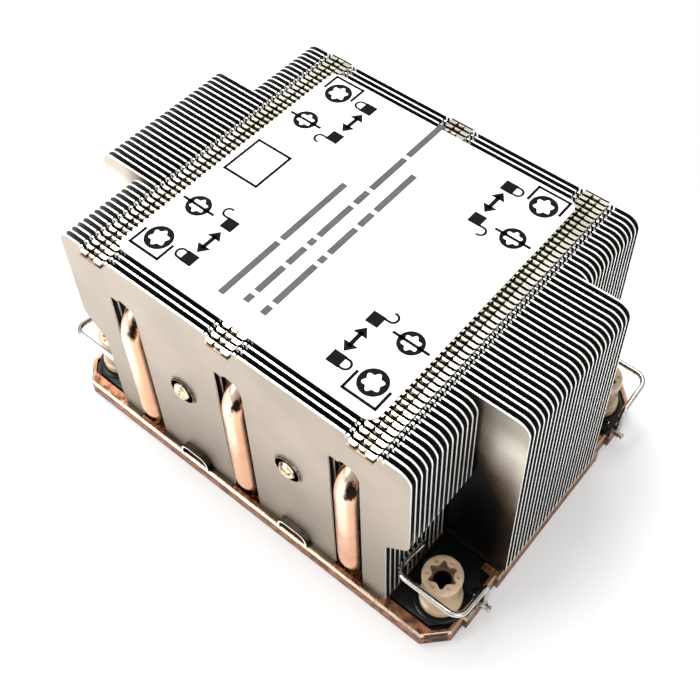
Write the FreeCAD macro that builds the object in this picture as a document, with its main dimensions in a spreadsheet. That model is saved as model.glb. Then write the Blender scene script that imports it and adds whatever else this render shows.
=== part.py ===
"""Passive 2U server CPU heatsink: copper base, zipper-fin stack, bent heat pipes, captive nuts.

Frame: origin at the centre of the base underside, +Z up, +X along the fins (the air flow),
+Y along the row of fins. Millimetres. Fin 1 is the first fin at the front, at -Y.
"""

import FreeCAD
import Part
import math
import os
import Sketcher

V = FreeCAD.Vector

DIMENSIONS = {
    # base plate
    "base_long": 108.0,
    "base_wide": 78.0,
    "base_thick": 4.2,
    "corner_inset": 0.9,
    "corner_cut": 4.6,
    "step_front": 30.5,
    "step_rear": 24.0,
    "waist_inset": 0.8,
    "centre_wide": 39.0,
    "edge_bevel": 0.45,
    "pocket_deep": 2.0,
    "groove_end": 37.6,
    # heat pipes
    "pipe_dia": 6.0,
    "pipe_pitch": 14.4,
    "flat_wide": 7.6,
    "flat_tall": 3.2,
    "round_axis_z": 4.0,
    "pipe_bend": 8.0,
    "pipe_front": 36.0,
    "flat_end": 24.0,
    "tip_start": 34.0,
    "tip_long": 3.4,
    "tip_dia": 2.6,
    "outer_pipe_z": 44.0,
    "inner_pipe_z": 31.2,
    # fins
    "fin_pitch": 1.45,
    "fin_sheet": 0.4,
    "fin_top": 59.5,
    "fin_gap": 0.04,
    "narrow_long": 87.8,
    "leg_long": 76.8,
    "shoulder_outer_z": 33.5,
    "shoulder_inner_z": 28.3,
    "corner_round": 3.0,
    "slot_wide": 7.4,
    "slot_spring_z": 45.0,
    "hole_radius": 3.08,
    "arch_radius": 3.3,
    "tab_wide": 5.8,
    "tab_row_x": 33.75,
    "flange_inset": 1.0,
    "slotted_count": 10,
    "plain_count": 4,
    "wide_count": 24,
    # label
    "label_wide": 64.4,
    "label_long": 65.6,
    "label_thick": 0.2,
    "label_corner": 2.5,
    # captive nuts
    "nut_x": 47.0,
    "nut_y": 30.0,
    "nut_top_z": 15.5,
    "nut_radius": 4.2,
    "nut_foot_z": 5.3,
    "nut_flange": 4.5,
    "nut_flange_tall": 1.4,
    "nut_stem": 2.9,
    "nut_stem_z": 0.1,
    "nut_thread": 1.65,
    "nut_neck": 2.3,
    "recess_tip": 3.05,
    "recess_root": 2.15,
    "recess_deep": 4.5,
    "clip_radius": 4.2,
    "clip_thick": 0.8,
    "clip_z": 0.7,
    "clip_bore": 2.35,
    "clip_recess": 1.8,
    # wire bails and their brackets
    "wire_dia": 1.2,
    "bail_x": 47.2,
    "arm_half": 7.7,
    "hinge_y": 25.8,
    "hinge_z": 6.0,
    "crossbar_y": 35.4,
    "crossbar_z": 15.6,
    "elbow_z": 13.7,
    "pivot_long": 2.6,
    "plate_thick": 1.4,
    "plate_front": 36.4,
    "plate_rear": 19.8,
    "plate_inner": 39.0,
    "plate_outer": 52.0,
    "plate_cut": 2.4,
    "boss_radius": 5.3,
    "boss_z": 5.0,
    "ear_thick": 1.3,
    "ear_half": 1.9,
    "tongue_thick": 1.2,
    "tongue_gap": 0.3,
}

doc = FreeCAD.newDocument("server_heatsink")
sheet = doc.addObject("Spreadsheet::Sheet", "Sizes")
for row, (alias, value) in enumerate(DIMENSIONS.items(), start=1):
    sheet.set(f"A{row}", alias)
    sheet.set(f"B{row}", str(value))
    sheet.setAlias(f"B{row}", alias)
doc.recompute()


def size(name):
    """Value of one driving dimension, read back from the sheet."""
    return float(sheet.get(name))


def cell(text):
    """Turn $name into a reference to that cell of the sheet."""
    return text.replace("$", "Sizes.")


SUB_PARTS = []


def new_body(label, compound=False):
    """Make a body that becomes one exported sub-part."""
    body = doc.addObject("PartDesign::Body", label)
    body.Label = label
    body.AllowCompound = compound
    SUB_PARTS.append(body)
    return body


def origin_plane(body, role):
    """Origin plane of a body: XY_Plane, XZ_Plane or YZ_Plane."""
    for feature in body.Origin.OriginFeatures:
        if feature.Role == role:
            return feature
    raise ValueError(role)


def new_sketch(body, name, plane, offset="0"):
    """Sketch on an origin plane, moved along the plane's normal by an expression."""
    sketch = body.newObject("Sketcher::SketchObject", name)
    sketch.AttachmentSupport = [(origin_plane(body, plane), "")]
    sketch.MapMode = "FlatFace"
    sketch.setExpression("AttachmentOffset.Base.z", cell(offset))
    return sketch


def bind(sketch, kind, geometry, point, expression):
    """Bind one coordinate of a sketch point to an expression of the sheet."""
    text = cell(expression)
    value = float(sketch.evalExpression(text))
    if abs(value) < 1e-9:
        axis = -2 if kind == "DistanceX" else -1
        sketch.addConstraint(Sketcher.Constraint("PointOnObject", geometry, point, axis))
        return
    index = sketch.addConstraint(Sketcher.Constraint(kind, -1, 1, geometry, point, value))
    sketch.setExpression(f"Constraints[{index}]", text)


def add_polygon(sketch, corners):
    """Closed polygon whose corners are pairs of expressions."""
    points = [V(float(sketch.evalExpression(cell(x))), float(sketch.evalExpression(cell(y))), 0)
              for x, y in corners]
    first = sketch.GeometryCount
    count = len(points)
    for k in range(count):
        sketch.addGeometry(Part.LineSegment(points[k], points[(k + 1) % count]), False)
    for k in range(count):
        following = first + (k + 1) % count
        sketch.addConstraint(Sketcher.Constraint("Coincident", first + k, 2, following, 1))
    for k, (x, y) in enumerate(corners):
        bind(sketch, "DistanceX", first + k, 1, x)
        bind(sketch, "DistanceY", first + k, 1, y)


def add_circle(sketch, x, y, radius):
    """Circle with its centre and radius bound to expressions."""
    centre = V(float(sketch.evalExpression(cell(x))), float(sketch.evalExpression(cell(y))), 0)
    value = float(sketch.evalExpression(cell(radius)))
    index = sketch.addGeometry(Part.Circle(centre, V(0, 0, 1), value), False)
    bind(sketch, "DistanceX", index, 3, x)
    bind(sketch, "DistanceY", index, 3, y)
    constraint = sketch.addConstraint(Sketcher.Constraint("Radius", index, value))
    sketch.setExpression(f"Constraints[{constraint}]", cell(radius))


def extrude(body, kind, name, sketch, length, reverse=False):
    """Pad or Pocket of a sketch by an expression, checked to change the body's volume."""
    before = 0.0 if body.Tip is None or body.Shape.isNull() else body.Shape.Volume
    feature = body.newObject(f"PartDesign::{kind}", name)
    feature.Profile = sketch
    feature.setExpression("Length", cell(length))
    feature.Reversed = reverse
    doc.recompute()
    change = feature.Shape.Volume - before
    if (kind == "Pad" and change <= 0) or (kind == "Pocket" and change >= 0):
        raise RuntimeError(f"{body.Label}.{name} changed the volume by {change}")
    return feature


def is_level(edge):
    """True for an edge that lies flat."""
    ends = [vertex.Point for vertex in edge.Vertexes]
    return abs(ends[0].z - ends[-1].z) < 1e-6


def dress(body, kind, name, base, edges, prop, expression):
    """Chamfer or Fillet of numbered edges of a feature, sized by an expression."""
    feature = body.newObject(f"PartDesign::{kind}", name)
    feature.Base = (base, [f"Edge{k}" for k in edges])
    feature.setExpression(prop, cell(expression))
    body.Tip = feature
    doc.recompute()
    return feature


def rectangle(x0, x1, y0, y1):
    """Corners of an upright rectangle given by four expressions."""
    return [(x0, y0), (x1, y0), (x1, y1), (x0, y1)]


def mirrored(points):
    """Add the mirror image in the vertical axis to a half outline."""
    flipped = [(f"-({x})", y) for x, y in reversed(points)]
    return points + flipped


# ---------------------------------------------------------------- base plate

def make_base():
    """Copper plate: wide centre, chamfered corners, pipe grooves, bracket pockets, nut holes."""
    body = new_body("base_plate")
    quarter = [
        ("$base_long / 2 - $corner_inset - $corner_cut", "-$base_wide / 2"),
        ("$base_long / 2 - $corner_inset", "$corner_cut - $base_wide / 2"),
        ("$base_long / 2 - $corner_inset", "-$step_front"),
        ("$base_long / 2", "-$step_front"),
        ("$base_long / 2", "-$step_rear"),
        ("$base_long / 2 - $waist_inset", "-$step_rear"),
        ("$base_long / 2 - $waist_inset", "-$centre_wide / 2"),
        ("$base_long / 2", "-$centre_wide / 2"),
    ]
    upper = [(x, f"-({y})") for x, y in reversed(quarter)]
    sketch = new_sketch(body, "base_outline", "XY_Plane")
    add_polygon(sketch, mirrored(quarter + upper))
    slab = extrude(body, "Pad", "base_slab", sketch, "$base_thick")
    outline = [k for k, edge in enumerate(slab.Shape.Edges, start=1) if is_level(edge)]
    dress(body, "Chamfer", "edge_bevels", slab, outline, "Size", "$edge_bevel")

    grooves = new_sketch(body, "groove_outline", "XY_Plane", "$base_thick")
    for step in (-2, -1, 0, 1, 2):
        left = f"{step} * $pipe_pitch - $flat_wide / 2"
        right = f"{step} * $pipe_pitch + $flat_wide / 2"
        add_polygon(grooves, rectangle(left, right, "-$groove_end", "$groove_end"))
    extrude(body, "Pocket", "pipe_grooves", grooves, "$flat_tall")

    pockets = new_sketch(body, "pocket_outline", "XY_Plane", "$base_thick")
    for side_x in (-1, 1):
        for side_y in (-1, 1):
            add_polygon(pockets, bracket_outline(side_x, side_y, "0.1"))
    extrude(body, "Pocket", "bracket_pockets", pockets, "$pocket_deep")

    holes = new_sketch(body, "nut_holes", "XY_Plane", "$base_thick")
    recesses = new_sketch(body, "clip_recesses", "XY_Plane")
    for side_x in (-1, 1):
        for side_y in (-1, 1):
            add_circle(holes, f"{side_x} * $nut_x", f"{side_y} * $nut_y", "$nut_stem + 0.3")
            add_circle(recesses, f"{side_x} * $nut_x", f"{side_y} * $nut_y", "$clip_radius + 0.4")
    extrude(body, "Pocket", "nut_bores", holes, "$base_thick")
    extrude(body, "Pocket", "clip_counterbores", recesses, "$clip_recess", reverse=True)
    return body


def bracket_outline(side_x, side_y, margin="0"):
    """Plan of one wire bracket, in the corner given by the two signs."""
    points = [
        (f"$plate_inner - {margin}", f"$plate_front + {margin}"),
        (f"$plate_outer - $plate_cut + {margin} / 2", f"$plate_front + {margin}"),
        (f"$plate_outer + {margin}", f"$plate_front - $plate_cut + {margin} / 2"),
        (f"$plate_outer + {margin}", f"$plate_rear - {margin}"),
        (f"$plate_inner - {margin}", f"$plate_rear - {margin}"),
    ]
    return [(f"{side_x} * ({x})", f"{side_y} * ({y})") for x, y in points]


# ---------------------------------------------------------------- heat pipes

def make_pipe(label, step, side, bend_z):
    """Bent heat pipe: flattened leg in the base groove, C-bend, round leg through the fins.

    step is its place in the row of five; side is -1 for a bend at the front, 1 at the rear.
    """
    body = new_body(label)
    radius = "$pipe_dia / 2"
    # the bend is swept along the centre line in the YZ plane of the body
    path = new_sketch(body, "centre_line", "YZ_Plane")
    far = size("pipe_front")
    bend = size("pipe_bend")
    low = size("round_axis_z")
    high = size(bend_z)
    turn = far - bend
    straight_end = size("tip_start")
    middle = math.sqrt(0.5) * bend
    foot = V(-turn, low, 0)
    rise = V(-far, low + bend, 0)
    crest = V(-far, high - bend, 0)
    head = V(-turn, high, 0)
    lower_arc = path.addGeometry(
        Part.Arc(foot, V(-turn - middle, low + bend - middle, 0), rise), False)
    upright = path.addGeometry(Part.LineSegment(rise, crest), False)
    upper_arc = path.addGeometry(
        Part.Arc(crest, V(-turn - middle, high - bend + middle, 0), head), False)
    upper_leg = path.addGeometry(Part.LineSegment(head, V(straight_end, high, 0)), False)
    lower_start = nearest_end(path, lower_arc, foot)
    lower_stop = 3 - lower_start
    upper_start = nearest_end(path, upper_arc, crest)
    upper_stop = 3 - upper_start
    for one, point, other, other_point in (
            (lower_arc, lower_stop, upright, 1), (upright, 2, upper_arc, upper_start),
            (upper_arc, upper_stop, upper_leg, 1)):
        path.addConstraint(Sketcher.Constraint("Tangent", one, point, other, other_point))
    bind(path, "DistanceX", lower_arc, lower_start, "$pipe_bend - $pipe_front")
    bind(path, "DistanceY", lower_arc, lower_start, "$round_axis_z")
    bind(path, "DistanceX", lower_arc, 3, "$pipe_bend - $pipe_front")
    bind(path, "DistanceY", lower_arc, 3, "$round_axis_z + $pipe_bend")
    path.addConstraint(Sketcher.Constraint("Vertical", upright))
    path.addConstraint(Sketcher.Constraint("Horizontal", upper_leg))
    path.addConstraint(Sketcher.Constraint("Equal", lower_arc, upper_arc))
    bind(path, "DistanceX", upper_leg, 2, "$tip_start")
    bind(path, "DistanceY", upper_leg, 2, f"${bend_z}")
    doc.recompute()
    section = new_sketch(body, "round_section", "XZ_Plane", "$pipe_front - $pipe_bend")
    add_circle(section, "0", "$round_axis_z", radius)
    doc.recompute()
    sweep = body.newObject("PartDesign::AdditivePipe", "bent_tube")
    sweep.Profile = section
    sweep.Spine = (path, [])
    doc.recompute()

    # the flattened leg, blended to round before the bend
    flat_start = new_sketch(body, "flat_section", "XZ_Plane", "$flat_end")
    add_obround(flat_start)
    blend_from = new_sketch(body, "blend_section", "XZ_Plane", "$pipe_front - $pipe_bend")
    add_circle(blend_from, "0", "$round_axis_z", radius)
    doc.recompute()
    blend = body.newObject("PartDesign::AdditiveLoft", "flat_blend")
    blend.Profile = blend_from
    blend.Sections = [flat_start]
    blend.Ruled = True
    doc.recompute()
    leg = new_sketch(body, "leg_section", "XZ_Plane", "$flat_end")
    add_obround(leg)
    extrude(body, "Pad", "flat_leg", leg, "2 * $flat_end", reverse=True)
    tail_flat = new_sketch(body, "tail_flat", "XZ_Plane", "-$flat_end")
    add_obround(tail_flat)
    tail_round = new_sketch(body, "tail_round", "XZ_Plane", "$pipe_bend - $pipe_front")
    add_circle(tail_round, "0", "$round_axis_z", radius)
    tail = body.newObject("PartDesign::AdditiveLoft", "tail_blend")
    tail.Profile = tail_flat
    tail.Sections = [tail_round]
    tail.Ruled = True
    doc.recompute()
    stub = new_sketch(body, "tail_section", "XZ_Plane", "$pipe_bend - $pipe_front")
    add_circle(stub, "0", "$round_axis_z", radius)
    extrude(body, "Pad", "tail", stub, "$tip_start + $pipe_bend - $pipe_front", reverse=True)
    for name, z in (("lower", "$round_axis_z"), ("upper", f"${bend_z}")):
        root = new_sketch(body, f"{name}_tip_root", "XZ_Plane", "-$tip_start")
        add_circle(root, "0", z, radius)
        point = new_sketch(body, f"{name}_tip_point", "XZ_Plane", "-$tip_start - $tip_long")
        add_circle(point, "0", z, "$tip_dia / 2")
        cone = body.newObject("PartDesign::AdditiveLoft", f"{name}_tip")
        cone.Profile = root
        cone.Sections = [point]
        doc.recompute()
    turn_round = FreeCAD.Rotation(V(0, 0, 1), 0 if side < 0 else 180)
    body.Placement = FreeCAD.Placement(V(0, 0, 0), turn_round)
    body.setExpression("Placement.Base.x", cell(f"{step} * $pipe_pitch"))
    return body


def nearest_end(sketch, geometry, target):
    """Index (1 or 2) of the end of a curve that lies at the target point."""
    if sketch.getPoint(geometry, 1).distanceToPoint(target) < 1e-6:
        return 1
    return 2


def add_obround(sketch):
    """Flattened pipe section, flush with the top of the base, centred on the body's YZ plane."""
    half = size("flat_wide") / 2 - size("flat_tall") / 2
    radius = size("flat_tall") / 2
    top = size("base_thick")
    middle = top - radius
    upper = sketch.addGeometry(Part.LineSegment(V(-half, top, 0), V(half, top, 0)), False)
    lower = sketch.addGeometry(Part.LineSegment(V(half, top - 2 * radius, 0), V(-half, top - 2 * radius, 0)),
                               False)
    right = sketch.addGeometry(Part.Arc(V(half, top, 0), V(half + radius, middle, 0),
                                        V(half, top - 2 * radius, 0)), False)
    left = sketch.addGeometry(Part.Arc(V(-half, top - 2 * radius, 0), V(-half - radius, middle, 0),
                                       V(-half, top, 0)), False)
    right_top = nearest_end(sketch, right, V(half, top, 0))
    left_top = nearest_end(sketch, left, V(-half, top, 0))
    sketch.addConstraint(Sketcher.Constraint("Tangent", upper, 2, right, right_top))
    sketch.addConstraint(Sketcher.Constraint("Tangent", right, 3 - right_top, lower, 1))
    sketch.addConstraint(Sketcher.Constraint("Tangent", lower, 2, left, 3 - left_top))
    sketch.addConstraint(Sketcher.Constraint("Tangent", left, left_top, upper, 1))
    sketch.addConstraint(Sketcher.Constraint("Horizontal", upper))
    bind(sketch, "DistanceX", upper, 1, "($flat_tall - $flat_wide) / 2")
    bind(sketch, "DistanceX", upper, 2, "($flat_wide - $flat_tall) / 2")
    bind(sketch, "DistanceY", upper, 1, "$base_thick")
    bind(sketch, "DistanceY", right, 3, "$base_thick - $flat_tall / 2")


# ---------------------------------------------------------------- fins

def rounded_top(half):
    """Right half of a fin's top edge with its rounded corner, from the top down."""
    bite = "$corner_round * 0.2929"
    return [
        (f"{half} - $corner_round", "$fin_top"),
        (f"{half} - {bite}", f"$fin_top - {bite}"),
        (half, "$fin_top - $corner_round"),
    ]


def hexagon(x, z):
    """Clearance hole for a round pipe: a hexagon outside the pipe's circle."""
    corners = []
    for k in range(6):
        angle = math.radians(60 * k)
        corners.append((f"{x} + $hole_radius * {math.cos(angle) / math.cos(math.pi / 6):.5f}",
                        f"{z} + $hole_radius * {math.sin(angle) / math.cos(math.pi / 6):.5f}"))
    return corners


def bottom_edge(openings):
    """Bottom edge of a fin from +X to -X, with the openings that start at the base."""
    points = []
    for kind, step in sorted(openings, key=lambda entry: -entry[1]):
        x = f"{step} * $pipe_pitch"
        if kind == "slot":
            points.append((f"{x} + $slot_wide / 2", "$base_thick"))
            for k in range(5):
                angle = math.radians(45 * k)
                points.append((f"{x} + $slot_wide / 2 * {math.cos(angle):.5f}",
                               f"$slot_spring_z + $slot_wide / 2 * {math.sin(angle):.5f}"))
            points.append((f"{x} - $slot_wide / 2", "$base_thick"))
        else:
            points.append((f"{x} + $arch_radius", "$base_thick"))
            for k in (1, 2):
                angle = math.radians(60 * k)
                points.append((f"{x} + $arch_radius * {math.cos(angle) / math.cos(math.pi / 6):.5f}",
                               f"$round_axis_z + $arch_radius * 1.0"))
            points.append((f"{x} - $arch_radius", "$base_thick"))
    return points


def make_fins(label, first, count, wide, openings, holes):
    """Group of like fins: a folded sheet with top tabs and a foot, repeated along Y.

    first is the number of the group's first fin; openings start at the base, holes are closed.
    """
    body = new_body(label, compound=True)
    half = "$base_long / 2" if wide else "$narrow_long / 2"
    foot = "$base_long / 2" if wide else "$leg_long / 2"
    back = f"(26.5 - {first}) * $fin_pitch"
    side = rounded_top(half)
    if not wide:
        side += [
            (half, "$shoulder_outer_z + 2"),
            (f"{half} - 0.6", "$shoulder_outer_z + 0.5"),
            (foot, "$shoulder_inner_z"),
        ]
    side.append((foot, "$base_thick"))
    left = [(f"-({x})", z) for x, z in reversed(side)]
    plate = new_sketch(body, "plate_outline", "XZ_Plane", back)
    add_polygon(plate, side + bottom_edge(openings) + left)
    for step, height in holes:
        add_polygon(plate, hexagon(f"{step} * $pipe_pitch", height))
    extrude(body, "Pad", "plate", plate, "$fin_sheet")

    reach = "($fin_pitch - $fin_gap)"
    near = f"(-({back}) - $fin_sheet)"
    far = f"(-({back}) - {reach})"
    tabs = new_sketch(body, "tab_outline", "XY_Plane", "$fin_top")
    for row in (-1, 0, 1):
        left_edge = f"{row} * $tab_row_x - $tab_wide / 2"
        right_edge = f"{row} * $tab_row_x + $tab_wide / 2"
        add_polygon(tabs, rectangle(left_edge, right_edge, far, near))
    extrude(body, "Pad", "top_tabs", tabs, "$fin_sheet", reverse=True)

    feet = new_sketch(body, "foot_outline", "XY_Plane", "$base_thick")
    edges = [f"-({foot}) + $flange_inset"]
    for kind, step in sorted(openings, key=lambda entry: entry[1]):
        clear = "$slot_wide / 2" if kind == "slot" else "$arch_radius"
        edges += [f"{step} * $pipe_pitch - {clear}", f"{step} * $pipe_pitch + {clear}"]
    edges.append(f"{foot} - $flange_inset")
    for start, stop in zip(edges[0::2], edges[1::2]):
        add_polygon(feet, rectangle(start, stop, far, near))
    extrude(body, "Pad", "foot", feet, "$fin_sheet")

    if count > 1:
        pattern = body.newObject("PartDesign::LinearPattern", "fin_row")
        pattern.TransformMode = "Whole shape"
        pattern.Direction = (plate, ["N_Axis"])
        pattern.Reversed = True
        pattern.Mode = "Spacing"
        pattern.setExpression("Offset", cell("$fin_pitch"))
        pattern.Occurrences = count
        body.Tip = pattern
        doc.recompute()
    solids = len(body.Shape.Solids)
    if solids != count:
        raise RuntimeError(f"{label} has {solids} solids, not {count}")
    return body


# ---------------------------------------------------------------- label

def make_label():
    """Instruction label lying on the tabs, with rounded corners."""
    body = new_body("label")
    sketch = new_sketch(body, "label_outline", "XY_Plane", "$fin_top")
    add_polygon(sketch, rectangle("-$label_wide / 2", "$label_wide / 2",
                                  "-$label_long / 2 - 0.3", "$label_long / 2 - 0.3"))
    paper = extrude(body, "Pad", "label_sheet", sketch, "$label_thick")
    corners = [k for k, edge in enumerate(paper.Shape.Edges, start=1) if not is_level(edge)]
    dress(body, "Fillet", "label_corners", paper, corners, "Radius", "$label_corner")
    return body


# ---------------------------------------------------------------- captive nuts

def make_nut(label, side_x, side_y):
    """Captive nut: tall plastic barrel, six-lobe recess on top, stem through the base."""
    body = new_body(label)
    sketch = new_sketch(body, "nut_profile", "XZ_Plane")
    add_polygon(sketch, [
        ("$nut_thread", "$nut_top_z"),
        ("$nut_radius - 0.3", "$nut_top_z"),
        ("$nut_radius", "$nut_top_z - 0.3"),
        ("$nut_radius", "$nut_top_z - 1.6"),
        ("$nut_radius - 0.25", "$nut_top_z - 2.0"),
        ("$nut_radius - 0.25", "$nut_foot_z + $nut_flange_tall"),
        ("$nut_flange", "$nut_foot_z + $nut_flange_tall"),
        ("$nut_flange", "$nut_foot_z"),
        ("$nut_stem", "$nut_foot_z"),
        ("$nut_stem", "$clip_z + $clip_thick + 0.1"),
        ("$nut_neck", "$clip_z + $clip_thick + 0.1"),
        ("$nut_neck", "$clip_z - 0.05"),
        ("$nut_stem", "$clip_z - 0.05"),
        ("$nut_stem - 0.3", "$nut_stem_z"),
        ("$nut_thread", "$nut_stem_z"),
    ])
    turned = body.newObject("PartDesign::Revolution", "nut_barrel")
    turned.Profile = sketch
    turned.ReferenceAxis = (sketch, ["V_Axis"])
    turned.Angle = 360
    doc.recompute()
    recess = new_sketch(body, "recess_outline", "XY_Plane", "$nut_top_z")
    lobes = []
    for k in range(12):
        angle = math.radians(30 * k)
        radius = "$recess_tip" if k % 2 == 0 else "$recess_root"
        lobes.append((f"{radius} * {math.cos(angle):.5f}", f"{radius} * {math.sin(angle):.5f}"))
    add_polygon(recess, lobes)
    extrude(body, "Pocket", "six_lobe_recess", recess, "$recess_deep")
    body.setExpression("Placement.Base.x", cell(f"{side_x} * $nut_x"))
    body.setExpression("Placement.Base.y", cell(f"{side_y} * $nut_y"))
    return body


def make_clip(label, side_x, side_y):
    """Open retaining clip in the neck of the nut's stem, inside the base's counterbore."""
    body = new_body(label)
    sketch = new_sketch(body, "clip_outline", "XY_Plane", "$clip_z")
    add_circle(sketch, "0", "0", "$clip_radius")
    add_circle(sketch, "0", "0", "$clip_bore")
    extrude(body, "Pad", "clip_ring", sketch, "$clip_thick")
    mouth = new_sketch(body, "clip_mouth", "XY_Plane", "$clip_z")
    add_polygon(mouth, rectangle("0", "$clip_radius + 1", "-$clip_bore * 0.8", "$clip_bore * 0.8"))
    extrude(body, "Pocket", "clip_opening", mouth, "$clip_thick", reverse=True)
    body.setExpression("Placement.Base.x", cell(f"{side_x} * $nut_x"))
    body.setExpression("Placement.Base.y", cell(f"{side_y} * $nut_y"))
    return body


# ---------------------------------------------------------------- brackets and wire bails

def make_bracket(label, side_x, side_y):
    """Moulded bracket in a corner pocket: a nut collar and two pierced ears."""
    body = new_body(label)
    floor = "($base_thick - $pocket_deep)"
    plan = new_sketch(body, "plate_plan", "XY_Plane", floor)
    add_polygon(plan, bracket_outline(side_x, side_y))
    extrude(body, "Pad", "bracket_plate", plan, "$plate_thick")
    x = f"{side_x} * $nut_x"
    y = f"{side_y} * $nut_y"
    boss = new_sketch(body, "collar_plan", "XY_Plane", f"{floor} + $plate_thick")
    add_circle(boss, x, y, "$boss_radius")
    extrude(body, "Pad", "nut_collar", boss, f"$boss_z - {floor} - $plate_thick")
    ear_foot = "($base_thick + $tongue_gap)"
    gap = "($wire_dia / 2 + 0.3)"
    at_hinge = (f"{side_y} * $hinge_y - $ear_half", f"{side_y} * $hinge_y + $ear_half")
    riser = new_sketch(body, "riser_plan", "XY_Plane", floor)
    add_polygon(riser, rectangle(*sorted_pair(side_x, "$plate_outer - 0.7", "$plate_outer"), *at_hinge))
    extrude(body, "Pad", "tongue_riser", riser, f"{ear_foot} + $tongue_thick - {floor}")
    tongue = new_sketch(body, "tongue_plan", "XY_Plane", ear_foot)
    reach = sorted_pair(side_x, "$plate_outer - 0.7", f"$bail_x + $arm_half - {gap}")
    add_polygon(tongue, rectangle(*reach, *at_hinge))
    extrude(body, "Pad", "outer_tongue", tongue, "$tongue_thick")
    inner_ear = sorted_pair(side_x, f"$bail_x - $arm_half + {gap}",
                            f"$bail_x - $arm_half + {gap} + $ear_thick")
    outer_ear = sorted_pair(side_x, f"$bail_x + $arm_half - {gap} - $ear_thick",
                            f"$bail_x + $arm_half - {gap}")
    for name, ear, foot in (("inner_ear", inner_ear, floor), ("outer_ear", outer_ear, ear_foot)):
        plan = new_sketch(body, f"{name}_plan", "XY_Plane", foot)
        add_polygon(plan, rectangle(*ear, *at_hinge))
        extrude(body, "Pad", name, plan, f"$hinge_z + $ear_half - {foot}")
    pierce = new_sketch(body, "pivot_holes", "YZ_Plane", f"{side_x} * $bail_x - $arm_half")
    add_circle(pierce, f"{side_y} * $hinge_y", "$hinge_z", "$wire_dia / 2 + 0.05")
    extrude(body, "Pocket", "pivots", pierce, "2 * $arm_half", reverse=True)
    bore = new_sketch(body, "nut_bore_plan", "XY_Plane", "$boss_z")
    add_circle(bore, x, y, "$nut_stem + 0.2")
    extrude(body, "Pocket", "nut_bore", bore, "$boss_z")
    return body


def sorted_pair(side_x, inner, outer):
    """Both X limits on the given side, the smaller first."""
    pair = (f"{side_x} * ({inner})", f"{side_x} * ({outer})")
    return pair if side_x > 0 else (pair[1], pair[0])


def make_bail(label, side_x, side_y):
    """Bent-wire bail round a nut: pivots, uprights, arms and crossbar in one wire.

    It is bent in two planes, so it is swept along its own wire instead of a flat sketch.
    """
    radius = size("wire_dia") / 2
    arm = size("arm_half")
    hinge_y = size("hinge_y")
    hinge_z = size("hinge_z")
    elbow_z = size("elbow_z")
    cross_y = size("crossbar_y")
    cross_z = size("crossbar_z")
    pivot = size("pivot_long")
    # half of the centre line, outwards from the middle of the crossbar, in front of the nut
    corners = [
        V(0, -cross_y, cross_z),
        V(arm, -cross_y, cross_z),
        V(arm, -hinge_y, elbow_z),
        V(arm, -hinge_y, hinge_z),
        V(arm - pivot, -hinge_y, hinge_z),
    ]
    bends = [2.6, 1.6, 1.0]
    other = [V(-p.x, p.y, p.z) for p in reversed(corners[1:])]
    route = other + corners[1:]
    radii = list(reversed(bends)) + bends
    wire = rounded_wire(route, radii)
    start = route[0]
    direction = (route[1] - route[0]).normalize()
    ring = Part.Wire(Part.makeCircle(radius, start, direction))
    shape = wire.makePipeShell([ring], True, False, 2)
    shape = clean_solid(shape)
    piece = doc.addObject("Part::Feature", label)
    piece.Label = label
    if side_y > 0:
        shape = shape.mirror(V(0, 0, 0), V(0, 1, 0))
    piece.Shape = shape
    piece.Placement = FreeCAD.Placement(V(side_x * size("bail_x"), 0, 0), FreeCAD.Rotation())
    SUB_PARTS.append(piece)
    return piece


def rounded_wire(route, radii):
    """Wire through the route's points with a tangent arc of the given radius at each corner."""
    edges = []
    here = route[0]
    for k, radius in enumerate(radii, start=1):
        before = (route[k] - route[k - 1]).normalize()
        after = (route[k + 1] - route[k]).normalize()
        turn = before.getAngle(after)
        reach = radius * math.tan(turn / 2)
        start = route[k] - before * reach
        stop = route[k] + after * reach
        inward = (after - before).normalize()
        centre = route[k] + inward * (radius / math.cos(turn / 2))
        middle = centre - inward * radius
        edges.append(Part.LineSegment(here, start).toShape())
        edges.append(Part.Arc(start, middle, stop).toShape())
        here = stop
    edges.append(Part.LineSegment(here, route[-1]).toShape())
    return Part.Wire(edges)


def clean_solid(shape):
    """Make a solid of a closed shell and turn it the right way out."""
    solid = shape if shape.ShapeType == "Solid" else Part.Solid(Part.Shell(shape.Faces))
    if solid.Volume < 0:
        solid.reverse()
    return solid


# ---------------------------------------------------------------- assembly

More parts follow.
